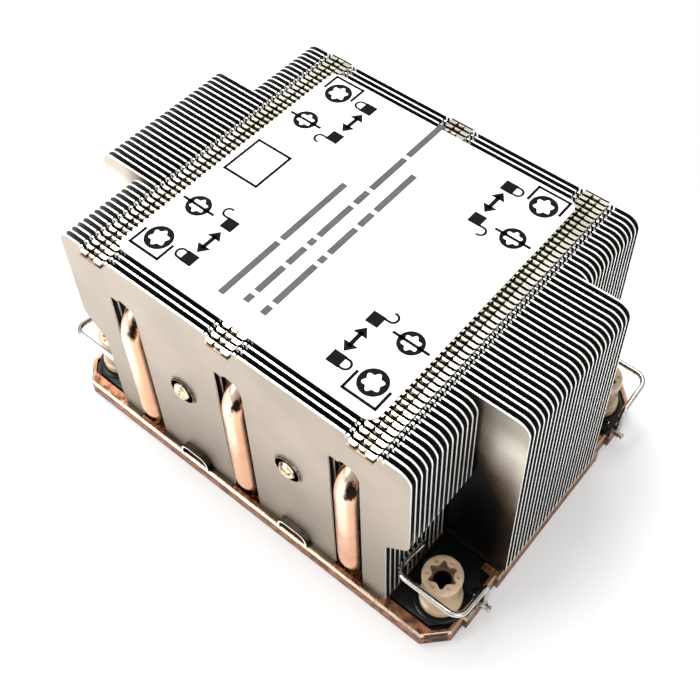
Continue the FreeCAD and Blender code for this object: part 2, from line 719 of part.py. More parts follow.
def make_all():
    """Build every sub-part in its place."""
    make_base()
    for name, step in (("left", -2), ("middle", 0), ("right", 2)):
        make_pipe(f"front_bend_pipe_{name}", step, -1, "outer_pipe_z")
    for name, step in (("left", -1), ("right", 1)):
        make_pipe(f"rear_bend_pipe_{name}", step, 1, "inner_pipe_z")
    outer = [(step, "$outer_pipe_z") for step in (-2, 0, 2)]
    inner = [(step, "$inner_pipe_z") for step in (-1, 1)]
    front_open = [("slot", -2), ("arch", -1), ("slot", 0), ("arch", 1), ("slot", 2)]
    rear_open = [("arch", -2), ("slot", -1), ("arch", 0), ("slot", 1), ("arch", 2)]
    slotted = int(size("slotted_count"))
    plain = int(size("plain_count"))
    wide = int(size("wide_count"))
    first = 1
    for label, count, is_wide, openings, holes in (
            ("front_slotted_fins", slotted, False, front_open, inner),
            ("front_narrow_fins", plain, False, [], outer + inner),
            ("wide_fins", wide, True, [], outer + inner),
            ("rear_narrow_fins", plain, False, [], outer + inner),
            ("rear_slotted_fins", slotted, False, rear_open, outer)):
        make_fins(label, first, count, is_wide, openings, holes)
        first += count
    make_label()
    for x_name, side_x in (("left", -1), ("right", 1)):
        for y_name, side_y in (("front", -1), ("rear", 1)):
            corner = f"{y_name}_{x_name}"
            make_bracket(f"wire_bracket_{corner}", side_x, side_y)
            make_nut(f"captive_nut_{corner}", side_x, side_y)
            make_clip(f"nut_clip_{corner}", side_x, side_y)
            make_bail(f"wire_bail_{corner}", side_x, side_y)


def check_and_export():
    """Stop on any failed object or bad shape, then write one STEP file for each sub-part."""
    doc.recompute()
    for item in doc.Objects:
        if "Invalid" in item.State or "Error" in item.State:
            raise RuntimeError(f"{item.Label} failed: {item.State}")
    for piece in SUB_PARTS:
        shape = piece.Shape
        if shape.isNull() or not shape.isValid():
            raise RuntimeError(f"{piece.Label} has no valid shape")
    os.makedirs("parts", exist_ok=True)
    for piece in SUB_PARTS:
        piece.Shape.exportStep(os.path.join("parts", f"{piece.Label}.step"))
        print(f"{piece.Label}: {len(piece.Shape.Solids)} solid(s), {piece.Shape.Volume:.1f} mm3")


make_all()
check_and_export()
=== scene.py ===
"""Looks of a passive server heatsink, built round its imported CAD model.

The frame is the model's own: metres, origin at the centre of the base's underside, +Z up,
+X along the fins and -Y at the front. Sizes in the classes are in millimetres.
"""

from __future__ import annotations

import logging
import math
from dataclasses import dataclass, field
from enum import Enum, IntEnum
from typing import Iterable, Sequence

import bmesh
import bpy
from bmesh.types import BMesh, BMEdge, BMFace, BMVert
from mathutils import Matrix, Vector

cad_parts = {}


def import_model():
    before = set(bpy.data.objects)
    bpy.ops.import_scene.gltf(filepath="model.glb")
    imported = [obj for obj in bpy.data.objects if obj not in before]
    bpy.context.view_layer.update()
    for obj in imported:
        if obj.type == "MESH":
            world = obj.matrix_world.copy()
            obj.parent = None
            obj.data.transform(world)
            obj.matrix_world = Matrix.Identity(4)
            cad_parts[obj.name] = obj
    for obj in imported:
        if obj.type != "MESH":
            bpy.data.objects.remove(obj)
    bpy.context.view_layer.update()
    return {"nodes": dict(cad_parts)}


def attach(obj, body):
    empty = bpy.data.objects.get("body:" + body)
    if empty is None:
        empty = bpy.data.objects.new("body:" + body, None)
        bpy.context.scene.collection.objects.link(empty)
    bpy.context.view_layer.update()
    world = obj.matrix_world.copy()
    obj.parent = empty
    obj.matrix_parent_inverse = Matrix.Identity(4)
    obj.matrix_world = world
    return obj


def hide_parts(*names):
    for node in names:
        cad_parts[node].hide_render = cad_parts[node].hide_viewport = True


Colour = tuple[float, float, float]
Point = tuple[float, float]

MM = 0.001
WHITE = (1.0, 1.0, 1.0, 1.0)
LOG = logging.getLogger("heatsink")


@dataclass(frozen=True)
class Layout:
    """Places of the CAD model that several sub-assemblies share."""

    base_top: float = 4.2
    fin_top: float = 59.5
    label_top: float = 59.7
    nut_x: float = 47.0
    nut_y: float = 30.0
    hinge_y: float = 25.8
    pipe_pitch: float = 14.4
    outer_pipe_z: float = 44.0
    inner_pipe_z: float = 31.2
    outer_steps: tuple[int, ...] = (-2, 0, 2)
    inner_steps: tuple[int, ...] = (-1, 1)


LAYOUT = Layout()


# ---------------------------------------------------------------- shader graphs

class Signal:
    """A value socket whose arithmetic adds Math nodes."""

    def __init__(self, graph: "Graph", socket: bpy.types.NodeSocket) -> None:
        """Wrap an output socket of a graph."""
        self.graph = graph
        self.socket = socket

    def _math(self, operation: str, *others: "Signal | float") -> "Signal":
        """Add one Math node.

        Args:
            operation: The node's operation.
            others: The operands that follow this value.

        Returns:
            The node's value.
        """
        inputs = {k: value for k, value in enumerate((self, *others))}
        made = self.graph.node("ShaderNodeMath", {"operation": operation}, inputs)
        return Signal(self.graph, made.outputs[0])

    def __add__(self, other: "Signal | float") -> "Signal":
        """Sum."""
        return self._math("ADD", other)

    __radd__ = __add__

    def __mul__(self, other: "Signal | float") -> "Signal":
        """Product."""
        return self._math("MULTIPLY", other)

    def __sub__(self, other: "Signal | float") -> "Signal":
        """Difference."""
        return self._math("SUBTRACT", other)

    def __rsub__(self, other: float) -> "Signal":
        """Difference from a number."""
        return self * -1.0 + other

    def size(self) -> "Signal":
        """Absolute value."""
        return self._math("ABSOLUTE")

    def ramp(self, low: float, high: float) -> "Signal":
        """Smooth step from 0 at low to 1 at high."""
        made = self.graph.node("ShaderNodeMapRange", {"interpolation_type": "SMOOTHSTEP"},
                               {0: self, 1: low, 2: high, 3: 0.0, 4: 1.0})
        return Signal(self.graph, made.outputs[0])


class Graph:
    """Node tree of a material or a world, with one method that makes every node."""

    def __init__(self, owner: bpy.types.Material | bpy.types.World) -> None:
        """Empty the owner's node tree."""
        owner.use_nodes = True
        self.tree = owner.node_tree
        self.tree.nodes.clear()

    def node(self, kind: str, settings: dict, inputs: dict) -> bpy.types.Node:
        """Make a node, set it up, then fill its sockets.

        Args:
            kind: The node's type name.
            settings: Attribute values, set first.
            inputs: Socket name or index to a value, a socket or a Signal.

        Returns:
            The new node.
        """
        made = self.tree.nodes.new(kind)
        for key, value in settings.items():
            setattr(made, key, value)
        for key, value in inputs.items():
            source = value.socket if isinstance(value, Signal) else value
            if isinstance(source, bpy.types.NodeSocket):
                self.tree.links.new(source, made.inputs[key])
            else:
                made.inputs[key].default_value = source
        return made


class Paint(Graph):
    """Graph of one material round a Principled shader."""

    def __init__(self, name: str) -> None:
        """Start an empty material of that name."""
        self.material = bpy.data.materials.new(name)
        super().__init__(self.material)
        self.shader = self.node("ShaderNodeBsdfPrincipled", {}, {})
        self.output = self.node("ShaderNodeOutputMaterial", {}, {"Surface": self.shader.outputs[0]})

    def surface(self, socket: bpy.types.NodeSocket) -> None:
        """Show another shader in place of the Principled one."""
        self.tree.links.new(socket, self.output.inputs["Surface"])

    def place(self) -> bpy.types.NodeSocket:
        """Object coordinates."""
        return self.node("ShaderNodeTexCoord", {}, {}).outputs["Object"]

    def axes(self) -> tuple[Signal, Signal, Signal]:
        """The three object coordinates, in millimetres."""
        split = self.node("ShaderNodeSeparateXYZ", {}, {0: self.place()})
        return tuple(Signal(self, split.outputs[k]) * (1.0 / MM) for k in range(3))

    def noise(self, per_mm: float, detail: float = 3.0, rough: float = 0.5,
              stretch: tuple[float, float, float] = (1.0, 1.0, 1.0)) -> Signal:
        """Noise on object coordinates.

        Args:
            per_mm: Features per millimetre.
            detail: Octaves.
            rough: Strength of the finer octaves.
            stretch: Factor on each axis' frequency.

        Returns:
            The noise value, about 0 to 1.
        """
        scale = tuple(per_mm / MM * s for s in stretch)
        mapped = self.node("ShaderNodeMapping", {}, {"Vector": self.place(), "Scale": scale})
        made = self.node("ShaderNodeTexNoise", {}, {"Vector": mapped.outputs[0], "Scale": 1.0,
                                                    "Detail": detail, "Roughness": rough})
        return Signal(self, made.outputs[0])

    def normal_axis(self, output: str, axis: int) -> Signal:
        """One component of the surface's normal, by the Geometry node's output name."""
        normal = self.node("ShaderNodeNewGeometry", {}, {}).outputs[output]
        return Signal(self, self.node("ShaderNodeSeparateXYZ", {}, {0: normal}).outputs[axis])

    def mix(self, amount: Signal, first: Colour | bpy.types.NodeSocket,
            second: Colour | bpy.types.NodeSocket) -> bpy.types.NodeSocket:
        """Mix two colours by a value.

        Args:
            amount: 0 for the first colour, 1 for the second.
            first: A colour or a colour socket.
            second: A colour or a colour socket.

        Returns:
            The mixed colour's socket.
        """
        pair = [c if isinstance(c, bpy.types.NodeSocket) else (*c, 1.0) for c in (first, second)]
        made = self.node("ShaderNodeMix", {"data_type": "RGBA"}, {0: amount, 6: pair[0], 7: pair[1]})
        return made.outputs[2]

    def set(self, **sockets: object) -> None:
        """Fill sockets of the Principled shader.

        Args:
            sockets: A value, colour, socket or Signal for each socket, named with underscores.
        """
        for key, value in sockets.items():
            name = key.replace("_", " ").title().replace("Ior", "IOR")
            source = value.socket if isinstance(value, Signal) else value
            if isinstance(source, bpy.types.NodeSocket):
                self.tree.links.new(source, self.shader.inputs[name])
            elif isinstance(source, tuple):
                self.shader.inputs[name].default_value = (*source, 1.0)
            else:
                self.shader.inputs[name].default_value = source

    def bump(self, height: Signal, depth_mm: float) -> None:
        """Feed a height to the shader's normal."""
        made = self.node("ShaderNodeBump", {}, {"Strength": 1.0, "Distance": depth_mm * MM,
                                                "Height": height})
        self.tree.links.new(made.outputs[0], self.shader.inputs["Normal"])


# ---------------------------------------------------------------- finishes

@dataclass(frozen=True)
class Finish:
    """A surface finish: a name and a way to fill a graph."""

    name: str

    def fill(self, graph: Paint) -> None:
        """Fill the graph; each finish has its own way."""
        raise NotImplementedError

    def material(self) -> bpy.types.Material:
        """The finish as a material, made once."""
        label = f"look_{self.name}"
        found = bpy.data.materials.get(label)
        if found:
            return found
        graph = Paint(label)
        self.fill(graph)
        return graph.material


@dataclass(frozen=True)
class RolledSheet(Finish):
    """Plated fin sheet with a fine rolling grain along the fin and soft cloudy wear.

    Attributes:
        clouds: Share by which the clouds darken and lighten the colour.
        speckle: Share of fine round speckle in the grain.
        painted_shade: How far painted shade darkens the sheet towards the base.
        painted_shade_range: Heights between which the painted shade darkens it, in millimetres.
        painted_shade_left: Share of the colour that is left where the painted shade is darkest.
    """

    colour: Colour
    roughness: float
    metallic: float = 1.0
    clouds: float = 0.12
    speckle: float = 0.0
    painted_shade: float = 0.0
    painted_shade_range: tuple[float, float] = (8.0, 46.0)
    painted_shade_left: float = 0.4

    def fill(self, graph: Paint) -> None:
        """Grain along X, clouds, fine speckle, painted shade towards the base and a faint bump."""
        grain = graph.noise(1.2, 4.0, 0.6, (0.05, 1.0, 1.0))
        if self.speckle:
            grain = grain * (1.0 - self.speckle) + graph.noise(3.2, 2.0, 0.7) * self.speckle
        cloud = graph.noise(0.06, 3.0, 0.5)
        dark = tuple(c * (1.0 - self.clouds) for c in self.colour)
        light = tuple(min(1.0, c * (1.0 + self.clouds)) for c in self.colour)
        tone = graph.mix((grain * 0.4 + cloud * 0.6).ramp(0.3, 0.7), dark, light)
        # Painted shade: the sheet darkens towards the base.
        if self.painted_shade:
            height = graph.axes()[2]
            low, high = self.painted_shade_range
            tone = graph.mix((1.0 - height.ramp(low, high)) * self.painted_shade, tone,
                             tuple(c * self.painted_shade_left for c in self.colour))
        graph.set(base_color=tone, metallic=self.metallic,
                  roughness=grain * 0.16 + (self.roughness - 0.08))
        graph.bump(grain, 0.004)


@dataclass(frozen=True)
class PaintedStepLight(Finish):
    """Step faces of the wide fins, painted near black as shade, with a painted reflection that turns warmer
    and paler towards the upper outer corner.
    """

    # Painted shade colour, then the painted reflection's warm and pale colours.
    dark: Colour = (0.012, 0.011, 0.010)
    warm: Colour = (0.16, 0.11, 0.075)
    pale: Colour = (1.0, 0.94, 0.83)

    def fill(self, graph: Paint) -> None:
        """Two soft bands of painted reflection over height and width, broken up by a fine grain."""
        x, _, z = graph.axes()
        grain = graph.noise(2.4, 3.0, 0.6)
        cloud = graph.noise(0.10, 2.0, 0.5)
        rise = z * 0.62 + x.size() * 0.80 + cloud * 8.0 + grain * 5.0
        # Painted reflection: pale glow towards the upper outer corner.
        glow = (rise.ramp(67.0, 80.0) * (1.0 - (z + cloud * 6.0).ramp(52.0, 60.0) * 0.55)
                * x.size().ramp(42.0, 48.5))
        edge = x.size().ramp(47.5, 54.5) * 0.55 + rise.ramp(62.0, 72.0)
        body = graph.mix(edge.ramp(0.05, 1.1), self.dark, self.warm)
        graph.set(base_color=graph.mix(glow, body, self.pale), metallic=0.85,
                  roughness=grain * 0.12 + 0.30)
        graph.bump(grain, 0.004)


@dataclass(frozen=True)
class Copper(Finish):
    """Bare copper tube with drawing marks and tarnish, a painted highlight down the middle, painted shade on
    the sides and at the foot, and a painted dark reflection at each upper bend.
    """

    colour: Colour = (0.84, 0.47, 0.30)
    highlight: Colour = (1.0, 0.83, 0.66)
    tarnish: Colour = (0.42, 0.19, 0.10)
    # Colour of the painted shade and the painted dark reflection.
    painted_dark: Colour = (0.016, 0.007, 0.004)
    roughness: float = 0.16
    bent_y: float = 33.5
    dark_reflection_z: float = 40.6
    dark_reflection_side: float = 0.50

    def fill(self, graph: Paint) -> None:
        """Marks and patches, a painted dark reflection at each upper bend, a painted highlight down the
        middle, painted shade on the sides and at the foot.
        """
        _, y, z = graph.axes()
        across = graph.normal_axis("Normal", 0)
        marks = graph.noise(1.6, 4.0, 0.6, (1.0, 1.0, 0.1))
        patch = graph.noise(0.14, 4.0, 0.6).ramp(0.45, 0.70)
        ragged = graph.noise(0.55, 4.0, 0.65, (1.0, 1.0, 0.45))
        outer = y.size().ramp(self.bent_y - 3.5, self.bent_y)
        # Painted dark reflection at each upper bend.
        tall = (z - self.dark_reflection_z) * 0.30
        wide = (across - self.dark_reflection_side) * 2.4
        dark_reflection = 1.0 - (tall * tall + wide * wide + ragged * 2.6).ramp(1.35, 2.15)
        # Painted shade at the foot.
        foot = 1.0 - (z + ragged * 3.0).ramp(7.0, 11.0)
        # Painted highlight down the middle of the tube.
        pale = (z.ramp(14.0, 34.0) * (1.0 - (across - 0.1).size().ramp(0.15, 0.62))).ramp(0.0, 1.0)
        # Painted shade along both sides.
        side_shade = across.ramp(0.78, 0.94) * 0.85 + (across * -1.0).ramp(0.70, 1.0) * 0.3
        crown = z.ramp(42.5, 45.5) * 0.55
        lit = graph.mix(pale * 0.85, self.colour, self.highlight)
        toned = graph.mix((patch * 0.3 + marks * 0.15 + crown * outer).ramp(0.0, 1.0), lit, self.tarnish)
        body = graph.mix(side_shade * outer, toned, self.painted_dark)
        graph.set(base_color=graph.mix((dark_reflection + foot * 0.8) * outer, body, self.painted_dark),
                  metallic=1.0,
                  roughness=patch * 0.12 + marks * 0.10 + dark_reflection * outer * 0.25 + self.roughness)
        graph.bump(marks, 0.006)


@dataclass(frozen=True)
class Brass(Finish):
    """Solder-wetted tip: pale brass with dark creases."""

    colour: Colour = (0.95, 0.80, 0.56)
    crease: Colour = (0.10, 0.055, 0.03)

    def fill(self, graph: Paint) -> None:
        """Bright metal broken by a few dark runs."""
        runs = graph.noise(0.55, 3.0, 0.6)
        fine = graph.noise(2.2, 3.0, 0.6)
        graph.set(base_color=graph.mix(runs.ramp(0.50, 0.60), self.colour, self.crease), metallic=1.0,
                  roughness=fine * 0.16 + 0.14)
        graph.bump(fine + runs, 0.12)


@dataclass(frozen=True)
class MilledCopper(Finish):
    """Base plate copper: mottled faces, painted shade in the recesses, and a painted highlight on the bevels
    at the top and bottom edges.
    """

    colour: Colour = (0.44, 0.20, 0.11)
    # Dark of the mottle, also the painted shade of the recesses.
    dark: Colour = (0.055, 0.026, 0.018)
    bevel_highlight: Colour = (0.60, 0.49, 0.37)
    # Painted highlight colour of the lower bevel.
    underside: Colour = (0.40, 0.36, 0.32)
    orange: Colour = (0.90, 0.40, 0.10)
    half_x: float = 52.4
    half_y: float = 38.2
    slots_x: float = 33.0

    def fill(self, graph: Paint) -> None:
        """Mottle by noise, painted shade in the recesses, and a painted highlight on the bevels, found by
        their slant and height.
        """
        x, y, z = graph.axes()
        top = LAYOUT.base_top
        sunk = 1.0 - z.ramp(top - 0.3, top - 0.05)
        inside = ((1.0 - y.size().ramp(self.half_y, self.half_y + 0.3))
                  * (1.0 - x.size().ramp(self.half_x, self.half_x + 0.3)))
        mottle = graph.noise(0.55, 5.0, 0.65, (1.0, 1.0, 1.6)).ramp(0.36, 0.66)
        mill = graph.noise(0.9, 3.0, 0.5, (0.06, 1.0, 1.0))
        upness = graph.normal_axis("True Normal", 2).size()
        slant = upness.ramp(0.4, 0.55) * (1.0 - upness.ramp(0.85, 0.95))
        # Painted shade: recesses inside the plate darker.
        mottled = graph.mix((mottle * 0.75 + sunk * inside * 0.5).ramp(0.0, 1.0), self.colour, self.dark)
        between = 1.0 - x.size().ramp(self.slots_x, self.slots_x + 1.0)
        warm = sunk * inside * between * (1.0 - mottle.ramp(0.2, 0.6))
        body = graph.mix(warm * 0.8, mottled, self.orange)
        # Painted highlight on the bevels, greyer on the lower one.
        low = 1.0 - z.ramp(0.5, 1.2)
        line = graph.mix(low, self.bevel_highlight, self.underside)
        graph.set(base_color=graph.mix(slant * (1.0 - sunk * inside), body, line), metallic=1.0,
                  roughness=0.34 + mill * 0.14 + mottle * 0.10 - slant * 0.18)
        graph.bump(mill + mottle * 0.6, 0.02)


@dataclass(frozen=True)
class Moulding(Finish):
    """Moulded plastic, or ink, with a fine texture."""

    colour: Colour
    roughness: float
    grain: float = 0.01
    coat: float = 0.0
    mottled: float = 0.06
    gloss: float = 0.5

    def fill(self, graph: Paint) -> None:
        """Fine texture and a slight change of tone."""
        fine = graph.noise(3.0, 2.0)
        broad = graph.noise(0.25, 3.0)
        low = tuple(c * (1.0 - self.mottled * 2) for c in self.colour)
        high = tuple(min(1.0, c * (1.0 + self.mottled)) for c in self.colour)
        graph.set(base_color=graph.mix(broad.ramp(0.3, 0.7), low, high),
                  roughness=fine * 0.12 + (self.roughness - 0.06), coat_weight=self.coat,
                  specular_ior_level=self.gloss)
        graph.bump(fine, self.grain)


@dataclass(frozen=True)
class Film(Finish):
    """White printed film of the label, with a faint orange-peel and soft handling marks."""

    colour: Colour = (0.90, 0.90, 0.90)

    def fill(self, graph: Paint) -> None:
        """Almost even white."""
        peel = graph.noise(0.8, 2.0)
        mark = graph.noise(0.05, 4.0, 0.6)
        dull = tuple(c * 0.95 for c in self.colour)
        graph.set(base_color=graph.mix(mark.ramp(0.4, 0.8), self.colour, dull),
                  roughness=0.42 + peel * 0.1)
        graph.bump(peel, 0.003)


@dataclass(frozen=True)
class DrawnWire(Finish):
    """Bright spring wire with a few dull spots."""

    colour: Colour = (0.60, 0.57, 0.52)
    roughness: float = 0.14

    def fill(self, graph: Paint) -> None:
        """Soft changes of gloss and small dull spots."""
        sheen = graph.noise(0.8, 3.0, 0.6)
        spot = graph.noise(0.5, 2.0, 0.5).ramp(0.5, 0.7)
        dull = tuple(c * 0.55 for c in self.colour)
        graph.set(base_color=graph.mix(spot * 0.5, self.colour, dull), metallic=1.0,
                  roughness=sheen * 0.05 + spot * 0.08 + self.roughness)


# Outermost fin faces, with painted shade towards the base.
FIN_FACE = RolledSheet("fin_face", (0.44, 0.375, 0.31), 0.42, metallic=0.78, speckle=0.8, painted_shade=0.55)
# Painted shade: faces inside the stack are near black.
FIN_INNER_SHADE = RolledSheet("fin_inner_painted_shade", (0.020, 0.019, 0.018), 0.5, metallic=0.4, clouds=0.3)
# Painted highlight: cut edges and the lips' front faces are near white.
FIN_EDGE_HIGHLIGHT = RolledSheet("fin_edge_highlight", (0.97, 0.96, 0.93), 0.30, metallic=0.35, clouds=0.04)
# Painted shade and painted reflection on the wide fins' step faces.
FIN_STEP_LIGHT = PaintedStepLight("fin_step_painted_light")
# Painted shade: feet, collars and lips darker than the sheet.
FOLD_METAL_SHADED = RolledSheet("fold_metal_painted_shade", (0.13, 0.115, 0.09), 0.16, clouds=0.6)
TAB_SHADE = RolledSheet("tab_shade", (0.20, 0.14, 0.09), 0.35, metallic=0.9, clouds=0.5)
# Painted highlight: tab tops and the feet's front faces, a lit copy of the fin metal.
TAB_METAL_HIGHLIGHT = RolledSheet("tab_metal_painted_highlight", (0.82, 0.76, 0.64), 0.24, metallic=0.9, clouds=0.30, speckle=0.5)
PIPE_COPPER = Copper("pipe_copper")
TIP_BRASS = Brass("tip_brass")
BASE_COPPER = MilledCopper("base_copper")
NUT_POLYMER = Moulding("nut_polymer", (0.56, 0.41, 0.27), 0.30, grain=0.012, coat=0.3, mottled=0.12)
# Painted shade: the recess walls darker, the bore near black.
NUT_SHADE = Moulding("nut_shade", (0.22, 0.135, 0.075), 0.5, grain=0.012)
NUT_BORE_SHADE = Moulding("nut_bore", (0.008, 0.007, 0.006), 0.6, grain=0.012)
BLACK_MOULD = Moulding("black_moulding", (0.005, 0.005, 0.005), 0.30, grain=0.02, coat=0.06, gloss=0.22)
CLIP_STEEL = Moulding("clip_steel", (0.03, 0.03, 0.03), 0.3)
LABEL_FILM = Film("label_film")
PRINT_INK = Moulding("print_ink", (0.004, 0.004, 0.005), 0.7, grain=0.002, gloss=0.08)
PRINT_GREY = Moulding("print_grey", (0.10, 0.10, 0.105), 0.7, grain=0.002, gloss=0.1)
WIRE_STEEL = DrawnWire("wire_steel")


# ---------------------------------------------------------------- mesh helpers

def mark_sharp(bm: BMesh, limit_deg: float = 35.0) -> None:
    """Shade smooth, with the edges over the limit kept sharp.

    Args:
        bm: The mesh to mark.
        limit_deg: Angle between two faces, in degrees, over which their edge is sharp.
    """
    limit = math.radians(limit_deg)
    for face in bm.faces:
        face.smooth = True
    for edge in bm.edges:
        edge.smooth = len(edge.link_faces) == 2 and edge.calc_face_angle(0.0) < limit


def make_object(name: str, bm: BMesh, finishes: Sequence[Finish], body: str,
                replaces: Iterable[str] = ()) -> bpy.types.Object:
    """Turn a bmesh in millimetres into a piece that rides on a body.

    Args:
        name: The piece's name.
        bm: The mesh, freed here.
        finishes: Materials, in the order of the faces' indices.
        body: The body that carries the piece.
        replaces: CAD nodes that the piece stands for.

    Returns:
        The new object.
    """
    bmesh.ops.scale(bm, vec=(MM, MM, MM), verts=bm.verts)
    mesh = bpy.data.meshes.new(name)
    bm.to_mesh(mesh)
    bm.free()
    for finish in finishes:
        mesh.materials.append(finish.material())
    piece = bpy.data.objects.new(name, mesh)
    bpy.context.scene.collection.objects.link(piece)
    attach(piece, body)
    nodes = list(replaces)
    if nodes:
        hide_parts(*nodes)
    LOG.info("%s: %d faces on %s", name, len(mesh.polygons), body)
    return piece


def add_block(bm: BMesh, low: Vector, high: Vector, index: int = 0) -> list[BMVert]:
    """Add a small rectangular tongue of sheet.

    Args:
        bm: The mesh to add to.
        low: The corner with the lowest coordinates.
        high: The corner with the highest coordinates.
        index: The finish's index.

    Returns:
        The tongue's vertices.
    """
    made = bmesh.ops.create_cube(bm, size=1.0)["verts"]
    bmesh.ops.scale(bm, vec=high - low, verts=made)
    bmesh.ops.translate(bm, vec=(low + high) / 2, verts=made)
    for face in {f for v in made for f in v.link_faces}:
        face.material_index = index
    return made


@dataclass
class Corner:
    """A corner of an outline, with the radius of its rounding."""

    across: float
    up: float
    radius: float = 0.0
    segments: int = 5

    def place(self) -> Vector:
        """The corner in space."""
        return Vector((self.across, 0.0, self.up))


def add_outline(bm: BMesh, corners: Sequence[Corner]) -> list[BMEdge]:
    """Add a closed outline in the XZ plane, with its corners rounded.

    Args:
        bm: The mesh to add to.
        corners: The outline's corners in order.

    Returns:
        The outline's edges.
    """
    verts = [bm.verts.new(corner.place()) for corner in corners]
    bm.faces.new(verts)
    known = set(verts)
    count = len(corners)
    for k, corner in enumerate(corners):
        if corner.radius <= 0.0:
            continue
        before = (corners[k - 1].place() - corner.place()).normalized()
        after = (corners[(k + 1) % count].place() - corner.place()).normalized()
        turn = math.pi - before.angle(after)
        made = bmesh.ops.bevel(bm, geom=[verts[k]], offset=corner.radius * math.tan(turn / 2),
                               offset_type="OFFSET", segments=corner.segments, profile=0.5,
                               affect="VERTICES", material=-1)
        known.update(made["verts"])
    edges = {edge for vert in known if vert.is_valid for edge in vert.link_edges}
    faces = {face for edge in edges for face in edge.link_faces}
    bmesh.ops.delete(bm, geom=list(faces), context="FACES_ONLY")
    return [edge for edge in edges if edge.is_valid]


FLAT = Matrix.Identity(3)
FACING_Y = Matrix.Rotation(math.pi / 2, 3, "X")


def add_ring(bm: BMesh, centre: Vector, radius: float, segments: int, axis: Matrix = FLAT) -> list[BMVert]:
    """Add a bare circle of edges, turned by a rotation."""
    place = Matrix.Translation(centre) @ axis.to_4x4()
    return bmesh.ops.create_circle(bm, cap_ends=False, segments=segments, radius=radius,
                                   matrix=place)["verts"]


def ring_edges(ring: Sequence[BMVert]) -> list[BMEdge]:
    """Edges between the vertices of one ring."""
    return list({e for v in ring for e in v.link_edges if all(w in ring for w in e.verts)})


def join_rings(bm: BMesh, rings: Sequence[Sequence[BMVert]], index: int) -> None:
    """Bridge rings in their order."""
    loops = [ring_edges(ring) for ring in rings]
    for one, other in zip(loops, loops[1:]):
        for face in bmesh.ops.bridge_loops(bm, edges=one + other)["faces"]:
            face.material_index = index


def lathe(bm: BMesh, centre: Vector, axis: Matrix, profile: Sequence[Point],
          index: int = 0, segments: int = 48) -> list[list[BMVert]]:
    """Add a turned surface.

    Args:
        bm: The mesh to add to.
        centre: Where the profile's height is zero.
        axis: Rotation from the Z axis to the turned one.
        profile: Pairs of radius and height.
        index: The finish's index.
        segments: Steps round the axis.

    Returns:
        The vertices of each ring.
    """
    rings = [add_ring(bm, centre + axis @ Vector((0.0, 0.0, height)), radius, segments, axis)
             for radius, height in profile]
    join_rings(bm, rings, index)
    return rings


def thicken(bm: BMesh, faces: Sequence[BMFace], push: Vector) -> None:
    """Give flat faces a thickness, and close them.

    Args:
        bm: The mesh that holds the faces.
        faces: Flat faces, kept as one side.
        push: The way to the other side.
    """
    made = bmesh.ops.extrude_face_region(bm, geom=list(faces), use_keep_orig=True)
    moved = [item for item in made["geom"] if isinstance(item, BMVert)]
    bmesh.ops.translate(bm, vec=push, verts=moved)


def copy_into(target: BMesh, source: bpy.types.Mesh, shift: Vector) -> None:
    """Add a shifted copy of a mesh to a bmesh.

    Args:
        target: The bmesh to add to.
        source: The mesh to copy.
        shift: How far the copy is moved.
    """
    first = len(target.verts)
    target.from_mesh(source)
    target.verts.ensure_lookup_table()
    bmesh.ops.translate(target, vec=shift, verts=target.verts[first:])


# ---------------------------------------------------------------- fins

class Opening(Enum):
    """What a fin has over a pipe at the base."""

    SLOT = "slot"
    ARCH = "arch"


class SheetPart(IntEnum):
    """Which finish a face of a fin has, by its index in the finishes."""

    FACE = 0
    INNER_SHADE = 1
    EDGE_HIGHLIGHT = 2
    TAB_LIT = 3
    STEP_LIGHT = 4
    FOLD_SHADED = 5
    SHADE = 6


@dataclass
class FinPlan:
    """One group of like fins, numbered from the front.

    Attributes:
        node: The CAD node of the group.
        first: Number of its first fin.
        count: How many fins it has.
        wide: Whether the fins reach over the corners of the base.
        openings: What opens at the base, by the pipe's step from the middle.
        holes: Height of each pierced hole, by the pipe's step from the middle.
    """

    node: str
    first: int
    count: int
    wide: bool
    openings: dict[int, Opening] = field(default_factory=dict)
    holes: dict[int, float] = field(default_factory=dict)

    @property
    def last(self) -> int:
        """Number of its last fin."""
        return self.first + self.count - 1


